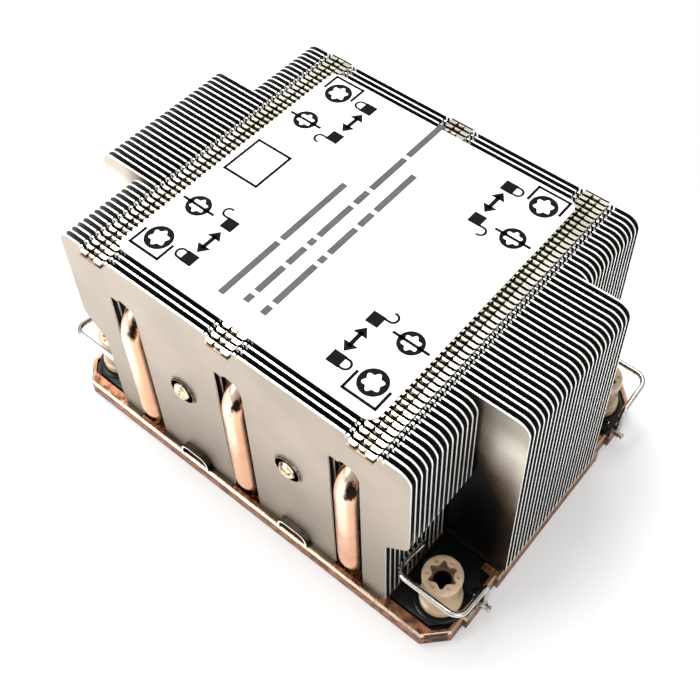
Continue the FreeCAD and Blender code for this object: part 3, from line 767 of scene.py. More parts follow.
@dataclass
class FinStack:
    """Folded fins: plates with tabs at the top, a foot at the base, slots and collared holes."""

    pitch: float = 1.45
    sheet: float = 0.4
    rows: int = 52
    top: float = LAYOUT.fin_top
    base: float = LAYOUT.base_top
    wide_half: float = 54.0
    narrow_half: float = 43.9
    leg_half: float = 38.4
    shoulder_outer: float = 33.5
    shoulder_inner: float = 28.3
    corner: float = 3.0
    slot_wide: float = 7.4
    slot_top: float = 48.7
    pipe_pitch: float = LAYOUT.pipe_pitch
    hole_radius: float = 3.12
    arch_radius: float = 3.3
    arch_top: float = 7.3
    tab_rows: tuple[float, ...] = (-33.75, 0.0, 33.75)
    tab_half: float = 2.9
    tab_root: float = 0.42
    stub: float = 0.55
    relief: float = 0.4
    relief_deep: float = 1.1
    foot_inset: float = 1.0
    foot_sheet: float = 0.3

    def plans(self) -> list[FinPlan]:
        """The five groups, front to rear."""
        outer = {step: LAYOUT.outer_pipe_z for step in LAYOUT.outer_steps}
        inner = {step: LAYOUT.inner_pipe_z for step in LAYOUT.inner_steps}
        every = {**outer, **inner}
        front = {step: Opening.SLOT if step in outer else Opening.ARCH for step in sorted(every)}
        rear = {step: Opening.SLOT if step in inner else Opening.ARCH for step in sorted(every)}
        return [
            FinPlan("front_slotted_fins", 1, 10, False, front, inner),
            FinPlan("front_narrow_fins", 11, 4, False, {}, every),
            FinPlan("wide_fins", 15, 24, True, {}, every),
            FinPlan("rear_narrow_fins", 39, 4, False, {}, every),
            FinPlan("rear_slotted_fins", 43, 10, False, rear, outer),
        ]

    def plate_face(self, number: int) -> float:
        """Y of the rear face of a fin's sheet."""
        return (number - 0.5 - self.rows / 2) * self.pitch

    def side(self, wide: bool) -> list[Corner]:
        """Right side of a fin's outline, from the top corner down to the base."""
        if wide:
            return [Corner(self.wide_half, self.top, self.corner, 6), Corner(self.wide_half, self.base)]
        return [
            Corner(self.narrow_half, self.top, self.corner, 6),
            Corner(self.narrow_half, self.shoulder_outer, 2.5, 4),
            Corner(self.leg_half, self.shoulder_inner, 1.2, 3),
            Corner(self.leg_half, self.base),
        ]

    def bottom(self, openings: dict[int, Opening]) -> list[Corner]:
        """Bottom of the outline from right to left, with what opens at the base."""
        corners: list[Corner] = []
        for step in sorted(openings, reverse=True):
            middle = step * self.pipe_pitch
            if openings[step] is Opening.SLOT:
                half, peak = self.slot_wide / 2, self.slot_top
                corners += [Corner(middle + half, self.base), Corner(middle + half, peak - 0.6, 2.9, 6),
                            Corner(middle - 0.5, peak + 0.3, 1.0, 3),
                            Corner(middle - 1.3, peak - 0.8, 0.5, 2),
                            Corner(middle - half, peak - 0.5, 1.1, 4), Corner(middle - half, self.base)]
            else:
                half, peak, radius = self.arch_radius, self.arch_top, self.arch_radius * 0.8
                corners += [Corner(middle + half, self.base), Corner(middle + half, peak, radius, 6),
                            Corner(middle - half, peak, radius, 6), Corner(middle - half, self.base)]
        return corners

    def top_edge(self) -> list[Corner]:
        """Top of the outline from left to right, with bend reliefs beside each tab."""
        corners: list[Corner] = []
        low = self.top - self.relief_deep
        for row in self.tab_rows:
            starts = (row - self.tab_half - 2 * self.relief - self.stub, row - self.tab_half - self.relief,
                      row + self.tab_half, row + self.tab_half + self.relief + self.stub)
            for start in starts:
                corners += [Corner(start, self.top), Corner(start, low),
                            Corner(start + self.relief, low), Corner(start + self.relief, self.top)]
        return corners

    def outline(self, plan: FinPlan) -> list[Corner]:
        """Whole outline of a fin, starting at its top left and going right and down."""
        right = self.side(plan.wide)
        left = [Corner(-c.across, c.up, c.radius, c.segments) for c in reversed(right)]
        return self.top_edge() + right + self.bottom(plan.openings) + left

    def add_tab(self, bm: BMesh, row: float) -> None:
        """Three hooked tongues folded forward from the top edge, the middle one lower."""
        z0, z1 = self.top - self.sheet, self.top
        reach = -(self.pitch - 0.16)
        half, root = self.tab_half, -self.tab_root
        strips = (
            (-half, half, root, 0.0, 0.0),
            (0.95, half, reach, root, 0.0),
            (-half, -1.15, reach + 0.15, root, -0.05),
            (-0.75, 0.60, reach + 0.35, root, -0.14),
        )
        add_block(bm, Vector((row - half, -(self.pitch - 0.02), z0 - 0.9)),
                  Vector((row + half, -self.sheet, z0 - 0.5)), SheetPart.SHADE)
        # Tongues in a lit copy of the fin metal: a painted highlight.
        for x0, x1, y0, y1, drop in strips:
            verts = add_block(bm, Vector((row + x0, y0, z0 + drop)), Vector((row + x1, y1, z1 + drop)),
                              SheetPart.TAB_LIT)
            ends = [e for e in {e for v in verts for e in v.link_edges}
                    if abs(e.verts[0].co.x - e.verts[1].co.x) < 1e-4
                    and abs(e.verts[0].co.y - e.verts[1].co.y) < 1e-4
                    and e.verts[0].co.y < y0 + 0.01]
            bmesh.ops.bevel(bm, geom=ends, offset=0.36, offset_type="OFFSET", segments=2, profile=0.5,
                            affect="EDGES", material=-1)

    def add_foot(self, bm: BMesh, plan: FinPlan) -> None:
        """Foot folded forward along the base, open where a pipe passes, in painted shade with a painted
        highlight on its front faces.
        """
        half = (self.wide_half if plan.wide else self.leg_half) - self.foot_inset
        edges = [-half]
        for step in sorted(plan.openings):
            clear = self.slot_wide / 2 if plan.openings[step] is Opening.SLOT else self.arch_radius
            edges += [step * self.pipe_pitch - clear, step * self.pipe_pitch + clear]
        edges.append(half)
        reach = -(self.pitch - 0.04)
        for x0, x1 in zip(edges[0::2], edges[1::2]):
            verts = add_block(bm, Vector((x0, reach, self.base)),
                              Vector((x1, -self.sheet, self.base + self.foot_sheet)), SheetPart.FOLD_SHADED)
            # The foot's front faces get a painted highlight.
            for face in {f for v in verts for f in v.link_faces}:
                if all(abs(v.co.y - reach) < 1e-4 for v in face.verts):
                    face.material_index = SheetPart.TAB_LIT

    def add_collar(self, bm: BMesh, step: int, height: float) -> None:
        """Flared collar round a pipe, drawn forward from the sheet, in painted shade."""
        centre = Vector((step * self.pipe_pitch, 0.0, height))
        inner = self.hole_radius - 0.02
        profile = ((inner + 0.62, self.sheet), (inner + 0.26, self.sheet + 0.16),
                   (inner + 0.14, self.sheet + 0.55), (inner, self.sheet + 0.55), (inner, 0.02))
        lathe(bm, centre, FACING_Y, profile, SheetPart.FOLD_SHADED, 24)

    def add_lip(self, bm: BMesh, step: int) -> None:
        """Folded frame that stands in front of the sheet over a pipe's lower end."""
        middle = step * self.pipe_pitch
        outer, inner = self.arch_radius + 0.75, self.arch_radius + 0.3
        high, low = self.arch_top + 0.75, self.arch_top + 0.3
        made = bmesh.new()
        add_outline(made, [
            Corner(middle - outer, self.base), Corner(middle - outer, high, 2.2, 4),
            Corner(middle + outer, high, 2.2, 4), Corner(middle + outer, self.base),
            Corner(middle + inner, self.base), Corner(middle + inner, low, 1.8, 4),
            Corner(middle - inner, low, 1.8, 4), Corner(middle - inner, self.base)])
        filled = bmesh.ops.triangle_fill(made, use_beauty=True, use_dissolve=False,
                                         edges=list(made.edges))
        faces = [item for item in filled["geom"] if isinstance(item, BMFace)]
        bmesh.ops.translate(made, vec=(0.0, -self.sheet - 0.05, 0.0), verts=made.verts)
        thicken(made, faces, Vector((0.0, -1.5, 0.0)))
        bmesh.ops.recalc_face_normals(made, faces=list(made.faces))
        # Front faces get a painted highlight, the rest painted shade.
        for face in made.faces:
            face.material_index = SheetPart.EDGE_HIGHLIGHT if face.normal.y < -0.5 else SheetPart.FOLD_SHADED
        lip = bpy.data.meshes.new("lip")
        made.to_mesh(lip)
        made.free()
        copy_into(bm, lip, Vector())
        bpy.data.meshes.remove(lip)

    def parts(self, plan: FinPlan, number: int) -> tuple[SheetPart, SheetPart]:
        """Front and rear finish of one fin.

        Args:
            plan: The group that the fin belongs to.
            number: The fin's number.

        Returns:
            The outermost fins have a face, the wide group's ends painted shade and reflection on their
            steps, and every other face painted shade.
        """
        # Faces inside the stack get painted shade.
        front = rear = SheetPart.INNER_SHADE
        if number == 1:
            front = SheetPart.FACE
        elif plan.wide and number == plan.first:
            front = SheetPart.STEP_LIGHT
        if number == self.rows:
            rear = SheetPart.FACE
        elif plan.wide and number == plan.last:
            rear = SheetPart.STEP_LIGHT
        return front, rear

    def sheet_mesh(self, plan: FinPlan, front: SheetPart, rear: SheetPart) -> bpy.types.Mesh:
        """Mesh of one fin with its sheet's rear face at Y 0.

        Args:
            plan: The group that the fin belongs to.
            front: Finish of its front face.
            rear: Finish of its rear face.

        Returns:
            A new mesh in millimetres.
        """
        bm = bmesh.new()
        add_outline(bm, self.outline(plan))
        for step, height in plan.holes.items():
            add_ring(bm, Vector((step * self.pipe_pitch, 0.0, height)), self.hole_radius, 20, FACING_Y)
        filled = bmesh.ops.triangle_fill(bm, use_beauty=True, use_dissolve=False, edges=list(bm.edges))
        faces = [item for item in filled["geom"] if isinstance(item, BMFace)]
        thicken(bm, faces, Vector((0.0, -self.sheet, 0.0)))
        bmesh.ops.recalc_face_normals(bm, faces=list(bm.faces))
        # Cut edges get a painted highlight, the faces their front and rear finish.
        for face in bm.faces:
            if abs(face.normal.y) < 0.5:
                face.material_index = SheetPart.EDGE_HIGHLIGHT
            else:
                face.material_index = front if face.normal.y < 0 else rear
        for row in self.tab_rows:
            self.add_tab(bm, row)
        self.add_foot(bm, plan)
        if front is SheetPart.FACE:
            for step, height in plan.holes.items():
                self.add_collar(bm, step, height)
            for step, opening in plan.openings.items():
                if opening is Opening.ARCH:
                    self.add_lip(bm, step)
        mark_sharp(bm)
        mesh = bpy.data.meshes.new("one_fin")
        bm.to_mesh(mesh)
        bm.free()
        return mesh

    def build(self) -> None:
        """Build every group as one piece that stands for its CAD node."""
        for plan in self.plans():
            bm = bmesh.new()
            for number in range(plan.first, plan.last + 1):
                mesh = self.sheet_mesh(plan, *self.parts(plan, number))
                copy_into(bm, mesh, Vector((0.0, self.plate_face(number), 0.0)))
                bpy.data.meshes.remove(mesh)
            make_object(plan.node.replace("_fins", "_folded_fins"), bm,
                        (FIN_FACE, FIN_INNER_SHADE, FIN_EDGE_HIGHLIGHT, TAB_METAL_HIGHLIGHT, FIN_STEP_LIGHT, FOLD_METAL_SHADED, TAB_SHADE),
                        "heatsink", [plan.node])


# ---------------------------------------------------------------- CAD nodes that keep their form

@dataclass
class CarriedNodes:
    """CAD nodes that show as they are, with a detailed finish."""

    nodes: dict[str, bpy.types.Object]

    def dress(self) -> None:
        """Give each kept node its finish."""
        finishes = {"base_plate": BASE_COPPER, "front_bend_pipe": PIPE_COPPER, "rear_bend_pipe": PIPE_COPPER,
                    "label": LABEL_FILM, "wire_bracket": BLACK_MOULD, "nut_clip": CLIP_STEEL,
                    "wire_bail": WIRE_STEEL}
        for name, node in self.nodes.items():
            for start, finish in finishes.items():
                if name.startswith(start):
                    node.data.materials.clear()
                    node.data.materials.append(finish.material())
                    LOG.info("%s keeps its form, finish %s", name, finish.name)


# ---------------------------------------------------------------- captive nuts

@dataclass
class CornerPlace:
    """One corner of the heatsink: its name and its signs along X and Y."""

    name: str
    side_x: int
    side_y: int


CORNERS = [CornerPlace(f"{y}_{x}", side_x, side_y)
           for x, side_x in (("left", -1), ("right", 1)) for y, side_y in (("front", -1), ("rear", 1))]


class NutPart(IntEnum):
    """Which finish a face of a nut has, by its index in the finishes."""

    OUTSIDE = 0
    RECESS_SHADE = 1
    BORE_SHADE = 2


@dataclass
class CaptiveNut:
    """Tan moulded nut: six-lobe recess, dimpled rim, waisted barrel, plain flange and grooved stem."""

    corner: CornerPlace
    x: float = LAYOUT.nut_x
    y: float = LAYOUT.nut_y
    top: float = 15.5
    foot: float = 5.3
    radius: float = 4.2
    flange: float = 4.5
    floor: float = 13.1
    bore: float = 1.85
    tip: float = 3.15
    root: float = 2.25
    dimple: float = 0.5
    dimple_circle: float = 3.1
    dimple_deep: float = 0.35
    stem: float = 2.9
    groove: float = 2.3
    groove_low: float = 0.65
    groove_high: float = 1.6
    tail: float = 0.1
    segments: int = 72

    def lobed(self, bm: BMesh, height: float, shrink: float) -> list[BMVert]:
        """Ring with six rounded lobes."""
        ring = add_ring(bm, Vector((0.0, 0.0, height)), 1.0, self.segments)
        for vert in ring:
            angle = math.atan2(vert.co.y, vert.co.x)
            wave = 1.0 - abs(math.sin(3.0 * angle))
            reach = self.root + (self.tip - self.root) * min(1.0, 1.3 * wave ** 1.15) - shrink
            vert.co.x = reach * math.cos(angle)
            vert.co.y = reach * math.sin(angle)
        return ring

    def rim(self, bm: BMesh, outer: list[BMVert], lobes: list[BMVert]) -> None:
        """Flat top between the lobes and the outer ring, with a dimple over each lobe's gap."""
        edges = ring_edges(outer) + ring_edges(lobes)
        pits = []
        for k in range(6):
            angle = math.radians(60 * k + 30)
            place = Vector((self.dimple_circle * math.cos(angle), self.dimple_circle * math.sin(angle),
                            self.top))
            ring = add_ring(bm, place, self.dimple, 10)
            pits.append((place, ring))
            edges += ring_edges(ring)
        bmesh.ops.triangle_fill(bm, use_beauty=True, use_dissolve=False, edges=edges)
        for place, ring in pits:
            low = add_ring(bm, place - Vector((0.0, 0.0, self.dimple_deep)), self.dimple * 0.6, 10)
            join_rings(bm, [ring, low], NutPart.OUTSIDE)
            bm.faces.new(low)

    def build(self) -> None:
        """Make the nut on its own body."""
        bm = bmesh.new()
        barrel = lathe(bm, Vector(), FLAT, [
            (self.radius - 0.28, self.top), (self.radius - 0.08, self.top - 0.1),
            (self.radius, self.top - 0.32), (self.radius, self.top - 1.7),
            (self.radius - 0.24, self.top - 2.0), (self.radius - 0.24, self.foot + 1.7),
            (self.flange - 0.15, self.foot + 1.45), (self.flange, self.foot + 1.3),
            (self.flange, self.foot), (self.stem, self.foot), (self.stem, self.groove_high),
            (self.groove, self.groove_high), (self.groove, self.groove_low),
            (self.stem, self.groove_low), (self.stem - 0.3, self.tail), (self.bore, self.tail),
            (self.bore, self.floor - 0.6)], segments=self.segments)
        lobes = self.lobed(bm, self.top, 0.0)
        middle = self.lobed(bm, self.top - 0.25, 0.14)
        low = self.lobed(bm, self.floor, 0.2)
        floor = add_ring(bm, Vector((0.0, 0.0, self.floor)), self.bore + 0.12, self.segments)
        self.rim(bm, barrel[0], lobes)
        join_rings(bm, [lobes, middle], NutPart.OUTSIDE)
        # Recess walls and bore in painted shade.
        join_rings(bm, [middle, low, floor], NutPart.RECESS_SHADE)
        join_rings(bm, [floor, barrel[-1]], NutPart.BORE_SHADE)
        for face in bm.faces:
            if face.calc_center_median().xy.length < self.bore + 0.02:
                face.material_index = NutPart.BORE_SHADE
        bmesh.ops.recalc_face_normals(bm, faces=list(bm.faces))
        mark_sharp(bm, 40.0)
        place = Vector((self.corner.side_x * self.x, self.corner.side_y * self.y, 0.0))
        bmesh.ops.translate(bm, vec=place, verts=bm.verts)
        make_object(f"moulded_nut_{self.corner.name}", bm, (NUT_POLYMER, NUT_SHADE, NUT_BORE_SHADE),
                    f"nut_{self.corner.name}", [f"captive_nut_{self.corner.name}"])


@dataclass
class BracketSkirt:
    """Thin moulded apron round a bracket, closing the gap to the fins and the wide fins' foot."""

    corner: CornerPlace
    inner: float = 38.7
    outer: float = 51.7
    front: float = 36.1
    rear: float = 17.7
    cut: float = 3.0
    waist: float = 49.6
    waist_front: float = 22.6
    waist_rear: float = 20.2
    low: float = LAYOUT.base_top
    high: float = LAYOUT.base_top + 0.3
    ribs: tuple[float, ...] = (19.4, 21.2, 23.0)
    rib_inner: float = 39.4
    rib_outer: float = 48.8
    rib_half: float = 0.25
    seat: float = 5.6
    seat_top: float = 5.1
    seat_bore: float = 3.3

    def build(self) -> None:
        """Make the apron with softened edges, three ribs and a raised nut seat."""
        sx, sy = self.corner.side_x, self.corner.side_y
        plan = [(self.inner, self.front), (self.outer - self.cut, self.front),
                (self.outer, self.front - self.cut), (self.outer, self.waist_front),
                (self.waist, self.waist_rear), (self.waist, self.rear), (self.inner, self.rear)]
        bm = bmesh.new()
        face = bm.faces.new([bm.verts.new((sx * x, sy * y, self.low)) for x, y in plan])
        thicken(bm, [face], Vector((0.0, 0.0, self.high - self.low)))
        bmesh.ops.recalc_face_normals(bm, faces=list(bm.faces))
        upper = [e for e in bm.edges if all(v.co.z > self.low + 0.1 for v in e.verts)]
        bmesh.ops.bevel(bm, geom=upper, offset=0.15, offset_type="OFFSET", segments=2, profile=0.5,
                        affect="EDGES", material=-1)
        left, right = sorted((sx * self.rib_inner, sx * self.rib_outer))
        for y in self.ribs:
            add_block(bm, Vector((left, sy * y - self.rib_half, self.high - 0.05)),
                      Vector((right, sy * y + self.rib_half, self.high + 0.25)))
        lathe(bm, Vector((sx * LAYOUT.nut_x, sy * LAYOUT.nut_y, 0.0)), FLAT, [
            (self.seat, self.high - 0.05), (self.seat, self.seat_top - 0.25),
            (self.seat - 0.3, self.seat_top), (self.seat - 0.7, self.seat_top),
            (self.seat - 0.9, self.seat_top - 0.2), (self.seat_bore, self.seat_top - 0.2)])
        bmesh.ops.recalc_face_normals(bm, faces=list(bm.faces))
        mark_sharp(bm)
        make_object(f"bracket_apron_{self.corner.name}", bm, (BLACK_MOULD,), "heatsink")


@dataclass
class PinchedTip:
    """Sealed end of a heat pipe's straight leg, standing out of its collar."""

    step: int
    side: int
    height: float

    def build(self) -> None:
        """Make the tip, rounded and slightly oval where it was pinched."""
        along = Matrix.Rotation(-self.side * math.pi / 2, 3, "X")
        bm = bmesh.new()
        rings = lathe(bm, Vector(), along, [
            (2.8, 35.6), (2.6, 36.6), (2.45, 37.3), (2.2, 37.9), (2.15, 38.1), (1.85, 38.5),
            (1.25, 38.82), (0.7, 38.88), (0.6, 38.6)], segments=28)
        bm.faces.new(rings[0])
        bm.faces.new(rings[-1])
        bmesh.ops.scale(bm, vec=(0.92, 1.0, 1.08), verts=bm.verts)
        bmesh.ops.translate(bm, vec=(self.step * LAYOUT.pipe_pitch, 0.0, self.height), verts=bm.verts)
        bmesh.ops.recalc_face_normals(bm, faces=list(bm.faces))
        mark_sharp(bm, 50.0)
        where = "front" if self.side < 0 else "rear"
        make_object(f"pinched_tip_{where}_{self.step + 3}", bm, (TIP_BRASS,), "heatsink")


@dataclass
class HingePin:
    """Steel pin that stands out of a bracket below the wire's outer pivot."""

    corner: CornerPlace
    start: float = 53.2
    stop: float = 56.4
    y: float = LAYOUT.hinge_y
    z: float = 4.5
    radius: float = 0.75

    def build(self) -> None:
        """Make the pin with a rounded end and a grooved neck."""
        side = self.corner.side_x
        along = Matrix.Rotation(side * math.pi / 2, 3, "Y")
        length = self.stop - self.start
        bm = bmesh.new()
        rings = lathe(bm, Vector((side * self.start, self.corner.side_y * self.y, self.z)), along, [
            (self.radius, 0.0), (self.radius, length - 0.9), (self.radius - 0.2, length - 0.8),
            (self.radius - 0.2, length - 0.6), (self.radius, length - 0.5),
            (self.radius, length - 0.15), (self.radius - 0.15, length)], segments=20)
        for ring in (rings[0], rings[-1]):
            bm.faces.new(ring)
        bmesh.ops.recalc_face_normals(bm, faces=list(bm.faces))
        mark_sharp(bm)
        make_object(f"hinge_pin_{self.corner.name}", bm, (WIRE_STEEL,), "heatsink")


# ---------------------------------------------------------------- label print

@dataclass
class LabelPrint:
    """Flat printed shapes on the label: plain symbols and bars, no lettering."""

    level: float = LAYOUT.label_top
    middle: float = 0.5
    ink: float = 0.03
    line: float = 0.62
    thin: float = 0.5
    bar_half: float = 0.75
    word_gap: float = 1.1
    lock_half: float = 1.45
    lock_bow: float = 1.1

    def shape(self, bm: BMesh, verts: Sequence[BMVert]) -> None:
        """Fill a closed run of vertices and give it the ink's thickness."""
        face = bm.faces.new(verts)
        thicken(bm, [face], Vector((0.0, 0.0, self.ink)))

    def polygon(self, bm: BMesh, points: Sequence[Point]) -> None:
        """Filled polygon from plan points."""
        self.shape(bm, [bm.verts.new((x, y, self.level)) for x, y in points])

    def box(self, bm: BMesh, low: Point, high: Point) -> None:
        """Filled rectangle between two opposite corners."""
        self.polygon(bm, [low, (high[0], low[1]), high, (low[0], high[1])])

    def stroke(self, bm: BMesh, points: Sequence[Point], closed: bool = False, width: float = 0.0) -> None:
        """Line through plan points.

        Args:
            bm: The mesh to add to.
            points: The line's points in order.
            closed: Whether the line returns to its first point.
            width: The line's width, or 0 for the usual one.
        """
        half = (width or self.line) / 2
        pairs = list(zip(points, points[1:]))
        if closed:
            pairs.append((points[-1], points[0]))
        for start, stop in pairs:
            a, b = Vector(start), Vector(stop)
            along = (b - a).normalized()
            side = Vector((-along.y, along.x)) * half
            reach = along * half
            self.polygon(bm, [tuple(a - reach - side), tuple(b + reach - side),
                              tuple(b + reach + side), tuple(a - reach + side)])

    def ring(self, bm: BMesh, x: float, y: float, outer: float) -> None:
        """Black ring round a white opening with six lobes."""
        place = Vector((x, y, self.level))
        rim = add_ring(bm, place, outer, 48)
        hole = add_ring(bm, place, outer * 0.62, 48)
        for k, vert in enumerate(hole):
            reach = 1.0 + 0.17 * math.cos(6 * math.tau * k / 48)
            vert.co = place + (vert.co - place) * reach
        made = bmesh.ops.bridge_loops(bm, edges=ring_edges(rim) + ring_edges(hole))
        thicken(bm, made["faces"], Vector((0.0, 0.0, self.ink)))

    def arc(self, bm: BMesh, centre: Point, start: float, stop: float, lead: float) -> None:
        """Curved line of a padlock's shackle.

        Args:
            bm: The mesh to add to.
            centre: Middle of the curve.
            start: First angle in degrees.
            stop: Last angle in degrees.
            lead: Length of the straight part before the curve.
        """
        radius = self.lock_bow
        rim: list[Point] = []
        inner: list[Point] = []
        steps = 14
        for k in range(steps + 1):
            angle = math.radians(start + (stop - start) * k / steps)
            for side, radial in ((rim, radius + self.thin / 2), (inner, radius - self.thin / 2)):
                side.append((centre[0] + radial * math.cos(angle), centre[1] + radial * math.sin(angle)))
        angle = math.radians(start)
        turn = -1.0 if stop > start else 1.0
        back = Vector((-math.sin(angle), math.cos(angle))) * lead * turn
        for side in (rim, inner):
            side.insert(0, (side[0][0] + back.x, side[0][1] + back.y))
        self.polygon(bm, rim + inner[::-1])

    def lock(self, bm: BMesh, x: float, y: float, corner: CornerPlace, shut: bool) -> None:
        """Square padlock whose shackle points outwards, shut or swung open."""
        half = self.lock_half
        self.box(bm, (x - half, y - half), (x + half, y + half))
        out = corner.side_x
        if shut:
            start, stop = (-90.0, 90.0) if out > 0 else (270.0, 90.0)
            self.arc(bm, (x + out * (half + 0.7), y), start, stop, 0.9)
            self.arc(bm, (x + out * (half + 0.7), y), stop, stop - (stop - start) * 0.1, 0.9)
        else:
            y_mid = y - corner.side_y * (half + 0.75)
            first = -90.0 if corner.side_y < 0 else 90.0
            sweep = out * (-corner.side_y) * 200.0
            self.arc(bm, (x + out * (half + 0.9), y_mid), first, first + sweep, 1.1)

    def corner_marks(self, bm: BMesh, corner: CornerPlace) -> None:
        """Symbols of one corner of the label."""
        side_x, side_y = corner.side_x, corner.side_y
        near, far = side_y * 26.9 + self.middle, side_y * 16.1 + self.middle
        self.ring(bm, side_x * 26.9, near, 3.0)
        self.ring(bm, side_x * 26.9, far, 2.7)
        out = side_y * 31.0 + self.middle
        self.stroke(bm, [(side_x * 23.2, near), (side_x * 23.2, out), (side_x * 30.7, out),
                         (side_x * 30.7, near)])
        self.stroke(bm, [(side_x * 23.0, far), (side_x * 30.8, far)])
        x = side_x * 18.5
        y0, y1 = side_y * 18.3 + self.middle, side_y * 25.0 + self.middle
        self.stroke(bm, [(x, y0 + side_y * 1.8), (x, y1 - side_y * 1.8)], width=0.9)
        for tip, back in ((y0, 1), (y1, -1)):
            self.polygon(bm, [(x, tip), (x - 1.65, tip + side_y * back * 2.1),
                              (x + 1.65, tip + side_y * back * 2.1)])
        self.lock(bm, x, side_y * 27.0 + self.middle, corner, True)
        self.lock(bm, x, side_y * 15.9 + self.middle, corner, False)

    def word_bars(self, bm: BMesh) -> None:
        """Three rows of plain bars where a label has its instructions."""
        rows = ((-8.0, -28.8, (16.0, 19.0)),
                (-3.0, -27.3, (2.0, 7.5, 5.0, 1.8, 10.0, 4.0, 11.0, 12.0)),
                (1.5, -27.5, (2.2, 11.5, 1.8, 8.0, 4.0, 12.5)))
        for x, start, words in rows:
            y = start
            for length in words:
                self.box(bm, (x - self.bar_half, y), (x + self.bar_half, y + length))
                y += length + self.word_gap

    def build(self) -> None:
        """Make all the print, one piece for each ink."""
        marks = bmesh.new()
        for corner in CORNERS:
            self.corner_marks(marks, corner)
        self.stroke(marks, [(-30.4, -4.6), (-30.4, 5.8), (-21.6, 5.8), (-21.6, -4.6)], closed=True)
        bars = bmesh.new()
        self.word_bars(bars)
        for name, bm, ink in (("label_marks", marks, PRINT_INK), ("label_bars", bars, PRINT_GREY)):
            bmesh.ops.recalc_face_normals(bm, faces=list(bm.faces))
            mark_sharp(bm)
            make_object(name, bm, (ink,), "heatsink")


# ---------------------------------------------------------------- studio

@dataclass(frozen=True)
class Lamp:
    """A square soft light: its place in metres, its side and its power."""

    name: str
    place: tuple[float, float, float]
    size: float
    power: float


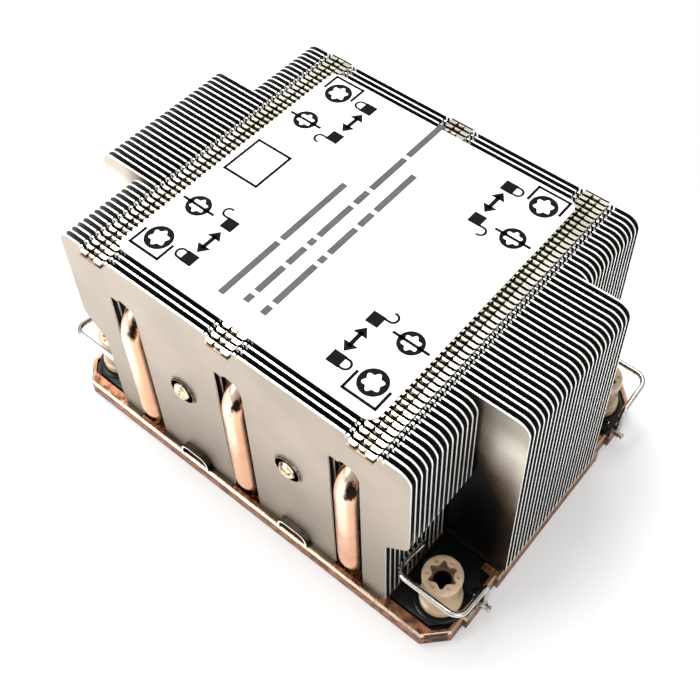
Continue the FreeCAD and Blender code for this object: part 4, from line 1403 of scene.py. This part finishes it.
@dataclass
class Studio:
    """Pale floor, soft lights and the camera.

    Attributes:
        azimuth: Angle of the camera round the object, in degrees.
        elevation: Angle of the camera above the floor, in degrees.
        roll: Turn of the camera about its own axis, in degrees.
        aim: Where the camera's axis passes the object, across and up, in millimetres.
        distance: From the camera to the plane of the aim, in millimetres.
        aim_height: Height of the aim above the floor, in millimetres.
        lens: Focal length for the sensor's width, in millimetres.
        shift: Shift of the lens, as shares of the render's width.
        white_from: Radius at which the floor starts to turn white, in millimetres.
        white_to: Radius from which the floor is whitest, in millimetres.
    """

    azimuth: float = 38.24
    elevation: float = 49.28
    roll: float = 0.456
    aim: tuple[float, float] = (8.071, -4.459)
    distance: float = 220.93
    aim_height: float = LAYOUT.fin_top
    sensor: float = 36.0
    lens: float = 57.646286
    shift: tuple[float, float] = (-0.0617143, -0.1475714)
    white_from: float = 70.0
    white_to: float = 135.0
    lamps: tuple[Lamp, ...] = (
        Lamp("key", (-0.30, 0.10, 0.80), 0.45, 7.5),
        Lamp("front", (-0.45, -0.70, 0.45), 0.5, 4.0),
        Lamp("fill", (0.7, -0.35, 0.5), 0.6, 1.6),
    )

    def camera(self) -> None:
        """Camera at the reference viewing angle, as a shifted lens."""
        az, el, roll = (math.radians(v) for v in (self.azimuth, self.elevation, self.roll))
        back = Vector((math.sin(az) * math.cos(el), -math.cos(az) * math.cos(el), math.sin(el)))
        right = Vector((math.cos(az), math.sin(az), 0.0))
        up = back.cross(right)
        right, up = (math.cos(roll) * right + math.sin(roll) * up,
                     -math.sin(roll) * right + math.cos(roll) * up)
        place = right * self.aim[0] + up * self.aim[1] + back * self.distance
        place.z += self.aim_height
        data = bpy.data.cameras.new("camera")
        data.sensor_width = self.sensor
        data.lens = self.lens
        data.shift_x, data.shift_y = self.shift
        data.clip_start = 0.01
        data.clip_end = 50.0
        camera = bpy.data.objects.new("camera", data)
        turn = Matrix((right, up, back)).transposed().to_4x4()
        camera.matrix_world = Matrix.Translation(place * MM) @ turn
        bpy.context.scene.collection.objects.link(camera)
        bpy.context.scene.camera = camera

    def floor(self) -> None:
        """Pale floor that keeps a soft shadow near the object and turns white farther out."""
        bm = bmesh.new()
        bmesh.ops.create_grid(bm, x_segments=1, y_segments=1, size=3000.0 * MM)
        mesh = bpy.data.meshes.new("floor")
        bm.to_mesh(mesh)
        bm.free()
        graph = Paint("floor_white")
        graph.set(base_color=(0.86, 0.86, 0.86), roughness=0.9)
        path = graph.node("ShaderNodeLightPath", {}, {})
        glow = graph.node("ShaderNodeEmission", {}, {0: WHITE, 1: 1.0})
        x, y, _ = graph.axes()
        far = (x * x * 0.7 + y * y * 1.3).ramp(self.white_from ** 2, self.white_to ** 2)
        seen = Signal(graph, path.outputs["Is Camera Ray"]) * (far * 0.70 + 0.30)
        blend = graph.node("ShaderNodeMixShader", {}, {0: seen, 1: graph.shader.outputs[0],
                                                       2: glow.outputs[0]})
        graph.surface(blend.outputs[0])
        mesh.materials.append(graph.material)
        floor = bpy.data.objects.new("floor", mesh)
        floor.location.z = -0.0002
        bpy.context.scene.collection.objects.link(floor)

    def light(self, lamp: Lamp) -> None:
        """Add a lamp, aimed at the object."""
        data = bpy.data.lights.new(lamp.name, "AREA")
        data.size = lamp.size
        data.energy = lamp.power
        piece = bpy.data.objects.new(lamp.name, data)
        piece.location = lamp.place
        away = Vector(lamp.place) - Vector((0.0, 0.0, 0.03))
        piece.rotation_euler = away.to_track_quat("Z", "Y").to_euler()
        bpy.context.scene.collection.objects.link(piece)

    def world(self) -> None:
        """White to a camera, softer and darker below for everything else."""
        world = bpy.data.worlds.new("studio")
        bpy.context.scene.world = world
        graph = Graph(world)
        coordinate = graph.node("ShaderNodeTexCoord", {}, {})
        split = graph.node("ShaderNodeSeparateXYZ", {}, {0: coordinate.outputs["Generated"]})
        ramp = graph.node("ShaderNodeMapRange", {}, {0: split.outputs[2], 1: -0.1, 2: 0.9, 3: 0.25, 4: 0.85})
        soft = graph.node("ShaderNodeBackground", {}, {"Strength": ramp.outputs[0], "Color": WHITE})
        white = graph.node("ShaderNodeBackground", {}, {"Color": WHITE})
        path = graph.node("ShaderNodeLightPath", {}, {})
        blend = graph.node("ShaderNodeMixShader", {}, {0: path.outputs["Is Camera Ray"],
                                                       1: soft.outputs[0], 2: white.outputs[0]})
        graph.node("ShaderNodeOutputWorld", {}, {0: blend.outputs[0]})

    def build(self) -> None:
        """Camera, floor, lights and world."""
        bpy.context.scene.view_settings.view_transform = "Standard"
        self.camera()
        self.floor()
        self.world()
        for lamp in self.lamps:
            self.light(lamp)


def main() -> None:
    """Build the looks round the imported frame."""
    logging.basicConfig(level=logging.INFO, format="%(name)s: %(message)s")
    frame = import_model()
    Studio().build()
    CarriedNodes(frame["nodes"]).dress()
    for corner in CORNERS:
        CaptiveNut(corner).build()
        HingePin(corner).build()
        BracketSkirt(corner).build()
    FinStack().build()
    for step in LAYOUT.inner_steps:
        PinchedTip(step, -1, LAYOUT.inner_pipe_z).build()
    for step in LAYOUT.outer_steps:
        PinchedTip(step, 1, LAYOUT.outer_pipe_z).build()
    LabelPrint().build()


if __name__ == "__main__":
    main()
